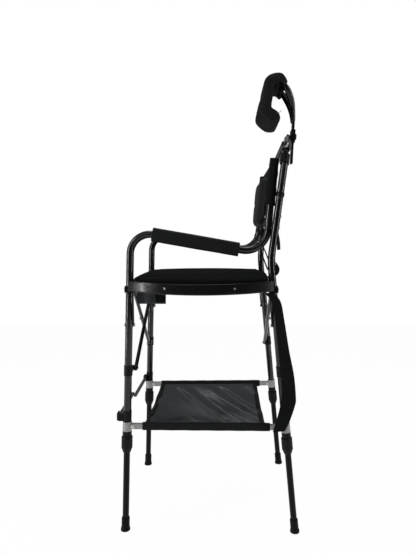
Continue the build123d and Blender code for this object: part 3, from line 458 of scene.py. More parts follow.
finishes = {
    "frame": blackPaint("glossBlackTube", shade=0.003, gloss=0.21, coat=0.1, wear=0.04, shine=0.4),
    "lowerTube": blackPaint("glossBlackLeg", shade=0.003, gloss=0.36, coat=0.0, wear=0.2, shine=0.12),
    "rail": blackPaint("satinBlackRail", shade=0.002, gloss=0.26, coat=0.04, wear=0.04, shine=0.2),
    "footBar": metal("greySatinBar", 0.075, 0.42, metallic=0.3),
    "bracket": metal("silverBracket", 0.26, 0.45, metallic=0.3),
    "bolt": metal("zincBolt", 0.45, 0.3, brushed=False),
    "forkCover": moulded("forkPlastic", 0.006, 0.3, shine=0.4),
    "plastic": moulded("blackPlastic", 0.003, 0.42, shine=0.12),
    "rubber": moulded("footRubber", 0.0018, 0.62, grain=900.0, depth=0.00012, shine=0.12),
    "foam": padCloth("armFoam", 0.0045, 500.0, rough=0.6, shine=0.12),
    "canvas": wovenCloth("blackCanvas", 0.004, 0.0012, shine=0.04),
    "canvasPad": padCloth("seatCover", 0.0042, 800.0, rough=0.85, shine=0.0),
    "lumbar": padCloth("lumbarCover", 0.0045, 800.0, rough=0.6, shine=0.1),
    "headCover": padCloth("headrestCover", 0.0016, 850.0, rough=0.6, shine=0.03, panel=endPanel, pale=6.0),
    "piping": wovenCloth("piping", 0.012, 0.0008, rough=0.55, useUV=False, shine=0.35),
    "mesh": wovenCloth("shelfMesh", 0.04, 0.0016, depth=0.0002, rough=0.7, lint=0.1, alpha=meshHoles),
    "hem": wovenCloth("shelfHem", 0.006, 0.0011),
    "webbing": wovenCloth("strapWebbing", 0.003, 0.0018, depth=0.0003, rough=0.6, shine=0.06),
    "thread": moulded("stitchThread", 0.01, 0.6, grain=2500.0),
    "flap": wovenCloth("flapCloth", 0.042, 0.0012, shine=0.1),
}
nodeFinish = {
    "frame": ("arm_tube", "rear_upright", "arch"), "lowerTube": ("lower_leg",), "footBar": ("footrest_bar",),
    "rail": ("seat_rail", "rail_struts", "rail_brackets", "brace", "shelf_rail", "headrest_fork", "tilt_bar"),
    "bracket": ("shelf_brackets",), "bolt": ("frame_bolts", "brace_rivet"), "rubber": ("foot",),
    "plastic": ("leg_sleeves", "footrest_sleeve", "hinge_sleeve", "hinge_button", "lock_collar", "headrest_clamp",
                "clamp_knob"),
    "foam": ("arm_pad",),
}
for nodeName, obj in nodes.items():
    for key, endings in nodeFinish.items():
        if nodeName.endswith(endings):
            setFinish(obj, key)
print("materials set")


foot = {"radius": 0.0145, "neck": 0.01275, "height": 0.0395, "bore": 0.00985, "boreLow": 0.012,
        "step": (0.005, 0.0105), "ribs": 3, "ribDepth": 0.0006, "ribFrom": (0.011, 0.014), "lipRound": 0.0008,
        "lipTall": 0.002, "soleRound": 0.0007, "soleTall": 0.002, "soleInner": 0.006}


# Rubber foot: a stepped cup whose radius eases from foot to neck, less shallow sine rings and rounded
# ends. What lies in the sole's height is moved along the leg's axis on to the floor
def makeFoot(side, end):
    tall, bore, low = foot["height"], foot["bore"], foot["boreLow"]
    h = np.linspace(0.0, tall, 30)
    outer = foot["radius"] + (foot["neck"] - foot["radius"]) * smooth(*foot["step"], h)
    rings = np.sin(h / tall * np.pi * 2 * foot["ribs"]) * foot["ribDepth"] * smooth(*foot["ribFrom"], h)
    lip = foot["lipRound"] * smooth(tall - foot["lipTall"], tall, h)
    outer = outer - np.abs(rings) - lip - foot["soleRound"] * smooth(foot["soleTall"], 0.0, h)
    profile = [(0.0, 0.0), (foot["soleInner"], 0.0), *zip(outer, h), (bore, tall), (bore, low), (0.0, low)]
    axis = legAxis(end)
    obj = turned(f"{side}_{end}_footCup", legPoint(end, sides[side], 0.0), axis, profile, 48)
    co = meshPoints(obj)
    onFloor = co - axis * (co[:, 2:] / axis[2])
    setPoints(obj, np.where(co[:, 2:] < foot["soleTall"], onFloor, co))
    finishPiece(obj, "rubber", f"{side}_{end}_leg", [f"{side}_{end}_foot"])


# Its outline is (height, radius) from the bottom, and rings are the heights that get points
lock = {
    "bottom": 0.241, "top": 0.2906, "bore": 0.00985, "ribs": 20, "ribDepth": 0.0007, "ribRadius": 0.0125,
    "outline": [(0, 0.0113), (0.001, 0.012), (0.013, 0.0163), (0.0145, 0.017), (0.0475, 0.017), (0.0488, 0.0166),
                (0.0496, 0.0158)],
    "rings": [0, 0.001, 0.004, 0.009, 0.013, 0.0145, 0.016, 0.018, 0.024, 0.032, 0.04, 0.0435, 0.045, 0.0475,
              0.0488, 0.0496],
    "ribFrom": (0.016, 0.0185), "ribTo": (0.0415, 0.044), "ribWave": (-0.15, 0.35),
}


# Twist lock: a drum with grip ribs between two plain rims, and a cone below. The grooves between the ribs
# are where the cosine of the angle times the ribs' number is high
def makeLock(side, end):
    tall = lock["top"] - lock["bottom"]
    h = np.array(lock["rings"])
    r = np.interp(h, *np.transpose(lock["outline"]))
    profile = [*zip(r, h), (lock["bore"], tall), (lock["bore"], 0.0)]

    def grip(a, radius, height):
        band = smooth(*lock["ribFrom"], height) * (1 - smooth(*lock["ribTo"], height)) * (radius > lock["ribRadius"])
        return -lock["ribDepth"] * band * smooth(*lock["ribWave"], np.cos(a * lock["ribs"]))

    base = legPoint(end, sides[side], lock["bottom"])
    obj = turned(f"{side}_{end}_twistLock", base, legAxis(end), profile, 160, grip)
    finishPiece(obj, "plastic", f"{side}_{end}_lock", [f"{side}_{end}_lock_collar"])


for side in sides:
    for end in ("front", "rear"):
        makeFoot(side, end)
        makeLock(side, end)

collar = {"low": 1.031, "tall": 0.013, "radius": 0.0133, "bore": 0.0116, "round": 0.0008}


# Thin stop ring round each rear upright: a turned strip with rounded edges
def makeCollar(side):
    low = np.array([uprightX(collar["low"]), sides[side] * chair["rearY"], collar["low"]])
    axis = np.array([uprightX(1.0) - uprightX(0.9), 0, 0.1])
    r, b, t, e = [collar[key] for key in ("radius", "bore", "tall", "round")]
    profile = [(b, 0), (r - e, 0), (r, e), (r, t - e), (r - e, t), (b, t)]
    finishPiece(turned(f"{side}_uprightCollar", low, axis, profile, 48), "plastic", f"{side}_side")


for side in sides:
    makeCollar(side)

knob = {"x": 0.2809, "z": 1.264, "lean": np.radians(2.9), "start": 0.00785, "depth": 0.0052, "radius": 0.011,
        "lobes": 18, "lobeDepth": 0.0006, "lobeWide": 0.0015, "backRound": 0.001, "faceRound": 0.0012,
        "dishShares": (0.55, 0.45), "dishEdge": 0.0008, "dishMiddle": 0.0009}


# Clamp knob: a turned disc with a dished face, whose rim is sunk between its lobes
def makeKnob():
    axis = np.array([np.cos(knob["lean"]), 0, -np.sin(knob["lean"])])
    base = np.array([knob["x"], 0, knob["z"]]) + axis * knob["start"]
    r, d, back, face = [knob[key] for key in ("radius", "depth", "backRound", "faceRound")]
    wide, narrow = knob["dishShares"]
    profile = [(0.0, 0), (r - back, 0), (r, back), (r, d - face), (r - face, d), (r * wide, d),
               (r * narrow, d - knob["dishEdge"]), (0.0, d - knob["dishMiddle"])]

    def grip(a, radius, height):
        return -knob["lobeDepth"] * (radius > r - knob["lobeWide"]) * smooth(0.0, 0.6, np.cos(a * knob["lobes"]))

    obj = turned("clampKnob", base, axis, profile, 144, grip)
    finishPiece(obj, "plastic", "knob", ["clamp_knob"])


makeKnob()
print("feet, locks and knob made")


# Swellings are shares of the section, at the places along its length that their names say
pad = {"front": (-0.183, 0.91473), "rear": (0.085, 0.86781), "width": 0.047, "height": 0.044, "bore": 0.0118,
       "corner": 0.01, "slim": 0.965, "rim": 0.02, "rimLong": 0.012, "middle": 0.012, "shoulder": 0.006,
       "shoulderLong": 0.03, "dent": 0.0007, "dentScale": 55.0, "seamWide": 0.0016, "seamDepth": 0.0012}


# A rounded rectangle by angle, as a superellipse whose power grows as the corner gets sharper
def roundedBox(width, height, corner, count=72):
    a = around(count)
    c, s = np.cos(a), np.sin(a)
    n = 5.0 * (1 - corner / min(width, height)) + 1.0
    r = (np.abs(c) ** n + np.abs(s) ** n) ** (-1 / n)
    return np.stack([c * r * width / 2, s * r * height / 2], 1)


# Foam sleeve: a soft square section along a straight line. It is scaled by a slim share plus a rim that
# rises with the root of the distance to the end, a half sine over the length and a bell by each end
def makeArmPad(side):
    sign = sides[side]
    start, stop = [np.array([x, sign * chair["frontY"], z]) for x, z in (pad["front"], pad["rear"])]
    t = np.concatenate([[0, 0.004, 0.01, 0.02], np.linspace(0.04, 0.96, 40), [0.98, 0.99, 0.996, 1]])
    beside = np.array([0.0, 1.0, 0.0])
    above = np.cross(unit(stop - start), beside)
    above = above * np.sign(above[2])
    outline = roundedBox(pad["width"], pad["height"], pad["corner"])
    inner = circle(pad["bore"], len(outline))
    fromEnd = np.minimum(t, 1 - t)
    rim = np.minimum(1, fromEnd / pad["rimLong"]) ** 0.5
    belly = np.sin(np.pi * t)
    fatten = pad["slim"] + pad["rim"] * rim + pad["middle"] * belly
    fatten = fatten + pad["shoulder"] * bell(fromEnd, pad["shoulderLong"])
    middle = (start + (stop - start) * t[:, None])[:, None]
    out = beside * outline[:, :1] + above * outline[:, 1:]
    skin = middle + out[None] * fatten[:, None, None]
    dents = ripple(skin, pad["dentScale"], 3 if sign < 0 else 4) * pad["dent"]
    seam = bell(outline[:, 0], pad["seamWide"]) * (outline[:, 1] < 0) * -pad["seamDepth"]
    skin = skin + unit(out)[None] * (dents * belly[:, None] + seam[None])[..., None]
    hole = middle + (beside * inner[:, :1] + above * inner[:, 1:])[None]
    obj = surface(f"{side}_armPad", np.concatenate([skin, hole[::-4]]), closeRows=True, closeCols=True)
    subdivide(obj)
    finishPiece(obj, "foam", f"{side}_side", [f"{side}_arm_pad"])


for side in sides:
    makeArmPad(side)


# railArc holds three points of the far rail in plan, and channelAt is a share of the half length and width
seat = {"bottom": 0.7485, "crown": 0.786, "dome": 11.0, "middleX": -0.03, "lipX": -0.249, "cornerX": -0.232,
        "lipY": 0.205, "lipEase": (0.006, 0.01), "rearX": 0.187, "rearDrop": 0.015, "legY": 0.197, "inset": 0.0053,
        "railArc": [(-0.253, 0.2458), (-0.033, 0.3153), (0.187, 0.2568)], "sideEase": 0.06, "round": 0.009,
        "frontRound": 0.014, "tuck": 0.003, "skin": 0.0008, "channel": 0.0014, "channelAt": 0.86,
        "channelWide": (0.012, 0.014), "dent": 0.0008, "dentScale": 30.0, "crease": 0.0009, "creaseWide": 0.05,
        "heldY": 0.245}


# Centre and radius of the circle through three points in plan
def circleThrough(a, b, c):
    a, b, c = np.array([a, b, c])
    m = 2 * np.array([b - a, c - a])
    centre = np.linalg.solve(m, [b @ b - a @ a, c @ c - a @ a])
    return centre[0], centre[1], np.hypot(*(a - centre))


railCircle = circleThrough(*seat["railArc"])


# Half width of the seat between the bowed rails, from the rails' circle in plan
def railInner(x):
    cx, cy, r = railCircle
    return cy + np.sqrt((r - seat["inset"]) ** 2 - (x - cx) ** 2)


# Seat skin: u runs front to back and v side to side, both -1 to 1. The front steps back round each leg,
# the top is part of a wide dome, and its height falls as a quarter circle over the last millimetres
def seatPoint(u, v, onTop):
    y = v * railInner(seat["middleX"])
    inward, outward = seat["lipEase"]
    lip = smooth(seat["lipY"] - inward, seat["lipY"] + outward, np.abs(y))
    front = seat["lipX"] + (seat["cornerX"] - seat["lipX"]) * lip
    rear = seat["rearX"] - seat["rearDrop"] * np.minimum(1, (y / seat["legY"]) ** 2)
    x = front + (rear - front) * (u + 1) / 2
    y = np.sign(v) * np.minimum(np.abs(y), railInner(x) - (1 - np.abs(v)) * seat["sideEase"])
    fall = 0.0
    for away, r in ((railInner(x) - np.abs(y), seat["round"]), (np.abs(x - front), seat["frontRound"]),
                    (np.abs(rear - x), seat["round"])):
        t = np.clip(1 - away / r, 0, 1)
        fall = np.maximum(fall, r * (1 - np.sqrt(1 - t ** 2)))
    if onTop:
        z = seat["crown"] - ((x - seat["middleX"]) ** 2 + y ** 2) / (2 * seat["dome"]) - fall
    else:
        z = seat["bottom"] + seat["tuck"] * np.minimum(1, fall / seat["round"])
    return np.stack([x, y, z], -1)


# Padded seat: the crowned top less two bell-shaped channels each way, with creases that are waves under a
# bell at each corner; the under side and the upright edge close it
def makeSeat():
    u, v = rimGrid(161)
    top, low = seatPoint(u, v, True), seatPoint(u, v, False)
    corners = [(a, b) for a in (-1, 1) for b in (-1, 1)]
    crease = sum(np.exp(-(((u - a) ** 2 + (v - b) ** 2) / seat["creaseWide"])) for a, b in corners)
    waves = np.sin((u * 34 + v * 21)) * 0.5 + np.sin(u * 19 - v * 41 + 1.0) * 0.5
    lift = ripple(top, seat["dentScale"], 11) * seat["dent"] + crease * waves * seat["crease"]
    wideV, wideU = seat["channelWide"]
    for line in (seat["channelAt"], -seat["channelAt"]):
        lift = lift - seat["channel"] * bell(v - line, wideV)
        lift = lift - seat["channel"] * 0.8 * bell(u - line, wideU)
    top[..., 2] += lift * fade(u, 10) * fade(v, 10) - seat["skin"]
    obj = surface("seatCushion", top, fix=False)
    joinObjects(obj, [surface("seatUnder", low[:, ::-1], fix=False), seatWall(u, v)])
    tidyNormals(obj, 2e-5)
    finishPiece(obj, "canvasPad", None, ["seat_pad"])
    spanSides(obj)


# The upright edge of the seat: its rim, walked once round, from the under side up to the top
def seatWall(u, v):
    walk = ((0, slice(None)), (slice(None), -1), (-1, slice(None, None, -1)), (slice(None, None, -1), 0))
    ru, rv = [np.concatenate([grid[part][:-1] for part in walk]) for grid in (u, v)]
    high, deep = seatPoint(ru, rv, True), seatPoint(ru, rv, False)
    high[..., 2] -= seat["skin"]
    t = np.linspace(0, 1, 5)[:, None, None]
    return surface("seatWall", deep[None] * (1 - t) + high[None] * t, closeCols=True, fix=False)


# Joins meshes into the first one
def joinObjects(first, others):
    def change(work):
        for other in others:
            work.from_mesh(other.data)
            bpy.data.objects.remove(other)

    editMesh(first, change)


# A thin round cord of cloth along a path of points, on the headrest
def headCord(name, path, radius, closePath=False):
    obj = sweep(name, path, circle(radius, 8), up=(0.3, 0.2, 1.0), closePath=closePath)
    finishPiece(obj, "piping", "headrest")


makeSeat()
print("arm pads and seat made")


back = {"low": 1.007, "top": 1.15, "drop": 0.061, "cloth": 0.0024, "sleeve": 0.013, "sleeveTurn": np.radians(-265),
        "ease": 0.03, "crease": 0.0018, "creaseReach": 0.07, "belly": 0.0012, "hemIn": 0.012, "hemShort": 0.014,
        "hemOut": 0.0013, "thread": 0.0005}
postUp = np.array([np.sin(chair["postLean"]), 0, np.cos(chair["postLean"])])
postFront = np.array([-np.cos(chair["postLean"]), 0, np.sin(chair["postLean"])])


def postAt(z):
    return np.array([chair["postX"] + (z - chair["postZ"]) * np.tan(chair["postLean"]), 0, z])


# Back cloth: one sheet that runs round each post and across. Its lower edge hangs in a parabola, and
# creases fan from the sleeves as waves that fade with the distance from the post
def makeSling():
    half, r = chair["frontY"], back["sleeve"]
    turn = np.linspace(back["sleeveTurn"], 0, 28)
    nearLoop = np.stack([-half + np.sin(turn) * r, np.cos(turn) * r], 1)
    across = np.stack([np.linspace(-half, half, 90)[1:-1], np.full(88, r)], 1)
    y, ahead = np.concatenate([nearLoop, across, nearLoop[::-1] * [-1, 1]]).T
    ahead = ahead * (1 - smooth(half, half - back["ease"], np.abs(y)))
    bulge = fade(y / half) * (np.abs(y) < half)
    t = np.linspace(0, 1, 48)[:, None]
    tall = (back["top"] - back["low"]) / np.cos(chair["postLean"])
    arc = back["drop"] * bulge[None]
    height = -arc + (tall + arc) * t
    fan = np.exp(-((half - np.abs(y)) / back["creaseReach"])) * (np.abs(y) < half)
    creases = np.sin(height * 120 + np.abs(y)[None] * 25) * fan[None] * back["crease"]
    shift = ahead[None] + creases - back["belly"] * bulge[None] * np.sin(np.pi * t)
    across = np.stack([0 * height, np.broadcast_to(y, height.shape), 0 * height], -1)
    pts = postAt(back["low"]) + across + postUp * height[..., None] + postFront * shift[..., None]
    obj = clothSheet("backSling", pts, back["cloth"])
    finishPiece(obj, "canvas", None, ["back_sling"])
    spanSides(obj)
    y = np.linspace(-half + back["hemShort"], half - back["hemShort"], 80)
    lowHem = -back["drop"] * fade(y / half) + back["hemIn"]
    for name, height in (("slingTopHem", 0 * y + tall - back["hemIn"]), ("slingLowHem", lowHem)):
        path = postAt(back["low"]) + postUp * height[:, None] + postFront * back["hemOut"]
        seam = sweep(name, path + np.stack([0 * y, y, 0 * y], 1), circle(back["thread"], 6), up=(1, 0, 0.2))
        finishPiece(seam, "thread")
        spanSides(seam)


lumbar = {"z": 1.024, "width": 0.334, "height": 0.17, "depth": 0.0275, "corner": 0.04, "pull": 0.018,
          "proud": 0.0021, "front": 0.0012, "rear": (0.0004, 0.0008), "channel": 0.003, "channelWide": 0.06,
          "fold": 0.0016, "foldWaves": 44, "foldFrom": (0.62, 0.8), "voxel": 0.0045, "pressure": 3.0, "cap": 0.003,
          "steps": 20}


# Pillow: a rounded rectangle whose depth is the 0.4th power of two fades multiplied, with edges that pull in
# between the corners
def cushionSkin(width, height, corner, depth):
    u, v = rimGrid(61)
    k = corner / (height / 2)
    a = u * np.sqrt(1 - 0.3 * k * v ** 2)
    b = v * np.sqrt(1 - 0.7 * k * u ** 6)
    pull = 1 - lumbar["pull"] * fade(u)
    body = (fade(u, 6) * fade(v, 9)).clip(0) ** 0.4
    return a * width / 2, b * height / 2 * pull, body * depth, u, v


# Lumbar cushion: a plump rounded box with upright folds, as waves at its ends, and a shallow channel across,
# filled by the cloth simulation
def makeLumbar():
    w, h, depth, u, v = cushionSkin(lumbar["width"], lumbar["height"], lumbar["corner"], lumbar["depth"])
    base = postAt(lumbar["z"]) + postFront * lumbar["proud"]
    channel = lumbar["channel"] * bell(v, lumbar["channelWide"]) * fade(u, 8)
    waves = np.sin(np.abs(u) * lumbar["foldWaves"] + v * 1.5) * smooth(*lumbar["foldFrom"], np.abs(u))
    folds = lumbar["fold"] * waves * fade(v, 6) * fade(u, 10)
    spread = base + np.stack([0 * w, w, 0 * w], -1) + postUp * h[..., None]
    front = spread + postFront * (lumbar["front"] + depth - channel + folds)[..., None]
    flat, swell = lumbar["rear"]
    rear = spread + postFront * (flat + swell * np.minimum(1, depth / lumbar["depth"]))[..., None]
    obj = surface("lumbarCushion", front, fix=False)
    joinObjects(obj, [surface("lumbarRear", rear[:, ::-1], fix=False)])
    tidyNormals(obj, 1e-5)
    puff(obj, lumbar["voxel"], lumbar["pressure"], lumbar["cap"], lumbar["steps"])
    subdivide(obj)
    finishPiece(obj, "lumbar", None, ["lumbar_cushion"])
    spanSides(obj)


makeSling()
makeLumbar()
print("back made")


# The headrest's section in its middle, in shares of its height: a place on the padding's middle line and
# the way from there to the skin, along the front. The rear goes back over the same line with the ways turned
# round. endShare is how much of the padding is left at the ends
head = {
    "centre": (0.2, 1.38), "half": 0.103, "tall": 0.2, "seamY": 0.0925, "endShare": 0.5,
    "middle": [(0.21, 0.26), (0.1445, 0.3335), (0.0378, 0.3212), (-0.0453, 0.2444), (-0.0626, 0.1341),
               (-0.0721, 0.0212), (-0.1043, -0.088), (-0.1158, -0.1999), (-0.0391, -0.2793), (0.06, -0.335)],
    "skin": [(-0.0497, -0.0054), (-0.0203, -0.0693), (0.0512, -0.0703), (0.0787, -0.0506), (0.0884, 0.0029),
             (0.0884, -0.0223), (0.1034, -0.0277), (0.1161, 0.0295), (0.0534, 0.0943), (0.0496, 0.0751)],
    "tip": (0.0751, -0.0496), "end": (0.0054, -0.0497),
    "endShares": (0.06, 0.18, 0.3, 0.4), "endProud": 0.0035, "groove": 0.03, "grooveWide": 0.0016,
    "dent": 0.0009, "dentScale": 42.0, "welt": 0.0011, "weltProud": 0.01, "rollSeamRadius": 0.001,
    "rollSeamProud": 0.0008,
    "rollSeam": [(-0.037, -0.03), (-0.03, -0.043), (-0.02, -0.055), (0.000, -0.062), (0.018, -0.058),
                 (0.03, -0.049)],
    "slots": (0.036, 0.057), "slotX": 0.2332, "slotLong": 0.04, "slotLow": 1.381, "slotHigh": 0.0083,
    "pivot": (0.2415, 1.441), "bore": 0.0068, "boreHalf": 0.0609,
}


# The Catmull-Rom curve between b and c at the share f
def splineBetween(a, b, c, d, f):
    return 0.5 * (2 * b + (c - a) * f + (2 * a - 5 * b + 4 * c - d) * f ** 2 + (3 * b - a - 3 * c + d) * f ** 3)


# A smooth closed line through points, count points in all
def closedSpline(points, count):
    p = np.asarray(points, float)
    t = np.linspace(0, len(p), count, endpoint=False)
    i = np.floor(t).astype(int)
    return splineBetween(*[p[(i + k) % len(p)] for k in (-1, 0, 1, 2)], (t - i)[:, None])


# A smooth line through points, count points in all
def openSpline(points, count):
    p = np.asarray(points, float)
    p = np.concatenate([2 * p[:1] - p[1:2], p, 2 * p[-1:] - p[-2:-1]])
    t = np.linspace(0, len(p) - 3 - 1e-9, count)
    i = np.floor(t).astype(int)
    return splineBetween(p[i], p[i + 1], p[i + 2], p[i + 3], (t - i)[:, None])


# How thick the padding is at each place across, -1 to 1: full over most of the width
def headShare(y):
    return head["endShare"] + (1 - head["endShare"]) * np.sqrt(fade(y, 8))


# The headrest's section at each place across, as (across, round, 3): middle line plus skin times thickness
def headSection(ys, shares, count=180):
    middle, skin = np.array(head["middle"]), np.array(head["skin"])
    middle = np.concatenate([middle, middle[-1:], middle[::-1], middle[:1]])
    skin = np.concatenate([skin, [head["tip"]], -skin[::-1], [head["end"]]])
    line = closedSpline(np.concatenate([middle, skin], 1), count) * head["tall"]
    centre = np.array(head["centre"])
    flat = centre + line[None, :, :2] + line[None, :, 2:] * np.asarray(shares)[:, None, None]
    across = np.broadcast_to(np.asarray(ys)[:, None], flat.shape[:2])
    return np.stack([flat[..., 0], across, flat[..., 1]], -1)


# Headrest: its section at each place across, drawn in to a line at the ends, with a groove at the seams,
# dents along the normals, and welts and a roll seam on the end panels
def makeHeadrest():
    half, seamY = head["half"], head["seamY"]
    t = rimSpread(61)
    groove = head["groove"] * bell(np.abs(t) * half - seamY, head["grooveWide"])
    ends = np.array(head["endShares"])
    proud = half + head["endProud"] * (1 - (ends / head["endShare"]) ** 2)
    ys = np.concatenate([-proud, t * half, proud[::-1]])
    shares = np.concatenate([ends, headShare(t) - groove, ends[::-1]])
    obj = surface("headrestPad", headSection(ys, shares), closeCols=True)
    closeEnds(obj)
    dents = ripple(meshPoints(obj), head["dentScale"], 21) * head["dent"]
    setPoints(obj, meshPoints(obj) + meshPoints(obj, "normal") * dents[:, None])
    cutSlots(obj)
    finishPiece(obj, "headCover", "headrest", ["headrest_pad"])
    for side, sign in sides.items():
        ring = headSection([sign * seamY], [headShare(seamY / half) + head["weltProud"]])[0]
        headCord(f"{side}_headrestWelt", ring, head["welt"], True)
        seam = openSpline(head["rollSeam"], 40) + head["centre"]
        path = np.insert(seam, 1, sign * (half + head["rollSeamProud"]), axis=1)
        headCord(f"{side}_rollSeam", path, head["rollSeamRadius"])


# Fills the two open rims at the ends of the pad
def closeEnds(obj):
    def change(work):
        bmesh.ops.holes_fill(work, edges=[e for e in work.edges if e.is_boundary], sides=0)
        bmesh.ops.triangulate(work, faces=[f for f in work.faces if len(f.verts) > 4])
        bmesh.ops.recalc_face_normals(work, faces=work.faces)

    editMesh(obj, change)


# Cuts the bore for the tilt bar and the two slots for the fork's eyes out of the pad
def cutSlots(obj):
    px, pz = head["pivot"]
    ring = np.insert(circle(head["bore"], 40) + head["pivot"], 1, 0.0, axis=1)
    reach = [0, head["boreHalf"], 0]
    cutters = [surface("boreCutter", np.stack([ring - reach, ring + reach]), False, True, True)]
    quads = [[0, 1, 3, 2], [4, 6, 7, 5], [0, 4, 5, 1], [2, 3, 7, 6], [0, 2, 6, 4], [1, 5, 7, 3]]
    for sign in sides.values():
        across = sorted(sign * np.array(head["slots"]))
        corners = [[x, y, z] for x in (head["slotX"], px + head["slotLong"]) for y in across
                   for z in (head["slotLow"], pz + head["slotHigh"])]
        cutters.append(addMesh("slotCutter", np.array(corners), quads))
    for cutter in cutters:
        tidyNormals(cutter)
        cut = obj.modifiers.new("slot", "BOOLEAN")
        cut.operation = "DIFFERENCE"
        cut.object = cutter
        applyModifiers(obj)
        bpy.data.objects.remove(cutter)


# The line is that of the far arm, and wide holds the cover's half widths evenly spread along it
fork = {"line": [(0.2415, 0.05, 1.441), (0.259, 0.044, 1.416), (0.2728, 0.031, 1.383), (0.2795, 0.02, 1.35),
                 (0.2822, 0.013, 1.318)],
        "wide": (0.0085, 0.0118, 0.0112, 0.0085, 0.0068), "thick": 0.0066, "count": 48, "round": 28, "blunt": 24}


# Flat moulded covers over the fork's two arms: an oval along each arm, widest below the pivot, that closes
# as the root of a high fade at the pivot's end
def makeForkCovers():
    count = fork["count"]
    share = np.linspace(0, 1, count)
    wide = np.interp(share, np.linspace(0, 1, len(fork["wide"])), fork["wide"])
    wide = np.convolve(np.pad(wide, 4, "edge"), np.ones(9) / 9, "valid")
    end = np.sqrt(np.clip(1 - (1 - share) ** fork["blunt"], 0.05, 1))[:, None]
    a = around(fork["round"])
    oval = np.stack([np.cos(a) * wide[:, None] * end, np.sin(a) * fork["thick"] * end], -1)
    for side, sign in sides.items():
        line = openSpline([(x, sign * y, z) for x, y, z in fork["line"]], count)
        cover = sweep(f"{side}_forkCover", line, oval, up=(0, 1, 0))
        finishPiece(cover, "forkCover", "headrest_stem")


makeHeadrest()
makeForkCovers()
print("headrest made")


shelf = {"z": 0.3216, "frontX": -0.206, "rearX": 0.16, "cloth": 0.0011, "sag": 0.015, "folds": 5, "foldDepth": 0.004,
         "hemWide": 0.016, "earX": (-0.2134, 0.1794), "hemHalf": (0.0078, 0.0122), "hemSquare": 0.1,
         "hemBore": 0.0063, "hemWave": 0.02, "tape": (0.008, 0.0012), "heldY": 0.225}


# Distance of a shelf rail from the chair's middle
def shelfHalf(x):
    front, rear = legPoint("front", 1, shelf["z"]), legPoint("rear", 1, shelf["z"])
    return front[1] + (rear[1] - front[1]) * (x - front[0]) / (rear[0] - front[0])


# Height of the mesh below the rails: a parabola across plus two sine waves on the slant, which fade out at
# the rails
def shelfDrop(x, v):
    slant = x * 14.0 + v * 1.6
    fold = np.sin(slant * shelf["folds"]) * 0.6 + np.sin(slant * 8.3 + 1.1) * 0.25
    return -shelf["sag"] * fade(v) + fold * shelf["foldDepth"] * fade(v, 4)


# Mesh shelf: one stretched sheet with soft diagonal folds, bound at its front and rear edges, with sleeves
# round the side rails
def makeShelf():
    xx, vv = np.meshgrid(np.linspace(shelf["frontX"], shelf["rearX"], 90), np.linspace(-1, 1, 110), indexing="ij")
    half = shelfHalf(xx) - shelf["hemWide"] / 2
    pts = np.stack([xx, vv * half, shelf["z"] + shelfDrop(xx, vv)], -1)
    obj = clothSheet("shelfMesh", pts, shelf["cloth"])
    w, h = shelf["tape"]
    binding = []
    for name, place in (("shelfFrontBinding", 0), ("shelfRearBinding", -1)):
        tape = sweep(name, pts[place], [(-w, -h), (w, -h), (w, h), (-w, h)])
        finishPiece(tape, "hem")
        spanSides(tape)
        binding.append(tape)
    binding += [makeSleeve(side) for side in sides]
    finishPiece(obj, "mesh", None, ["shelf_mesh"])
    spanSides(obj)


# Sleeve round a side rail: an oval with slightly square sides, waved a little along its length
def makeSleeve(side):
    x = np.linspace(*shelf["earX"], 60)
    path = np.stack([x, sides[side] * shelfHalf(x), 0 * x + shelf["z"]], 1)
    a = around(32)
    wide, tall = shelf["hemHalf"]
    outer = np.stack([np.cos(a) * wide, np.sin(a) * tall], 1) * (1 + shelf["hemSquare"] * np.sin(2 * a)[:, None] ** 2)
    wave = 1 + shelf["hemWave"] * np.sin(x * 90)[:, None, None]
    skin = carried(path, outer[None] * wave, (0, 0, 1))
    hole = carried(path, circle(shelf["hemBore"], 32), (0, 0, 1))
    hem = surface(f"{side}_shelfHem", np.concatenate([skin, hole[::-6]]), True, True)
    return finishPiece(hem, "hem", f"{side}_side")


makeShelf()
print("shelf made")


# The two edge lines are (x, z) in millimetres, from the seat's rail down
strap = {"footY": 0.2465, "lean": np.radians(1.7), "thick": 0.002, "cloth": 0.0018, "cup": 0.001, "cupWaves": 7,
         "rear": [(189, 738), (210, 710), (221, 655), (236, 563), (251, 487), (257, 421), (255, 396), (238, 345),
                  (223, 315)],
         "front": [(161, 738), (182, 710), (193, 655), (203, 563), (211, 487), (214, 430), (211, 401), (199, 352),
                   (187, 313)]}


# Carry strap: straight across between two smooth edge lines, and cupped as a parabola that turns over as
# a sine along its length
def makeStrap():
    front, rear = [openSpline(strap[key], 90)[:, None] / 1000 for key in ("front", "rear")]
    s = np.linspace(0, 1, 15)
    share = s[None, :, None]
    flat = front * (1 - share) + rear * share
    cup = strap["cup"] * fade(2 * s - 1)[None] * np.sin(np.linspace(0, strap["cupWaves"], 90))[:, None]
    y = -strap["footY"] - flat[..., 1] * np.tan(strap["lean"]) - strap["thick"] / 2 - cup
    obj = clothSheet("carryStrap", np.stack([flat[..., 0], y, flat[..., 1]], -1), strap["cloth"])
    finishPiece(obj, "webbing", "near_side", ["carry_strap"])


flap = {"x": (-0.234, -0.143), "top": 0.748, "low": 0.698, "y": -0.2175, "cloth": 0.0024, "round": 0.0008,
        "bow": 0.0012, "bowWaves": 60, "tapeCloth": 0.0012, "tapeOut": 0.0019}


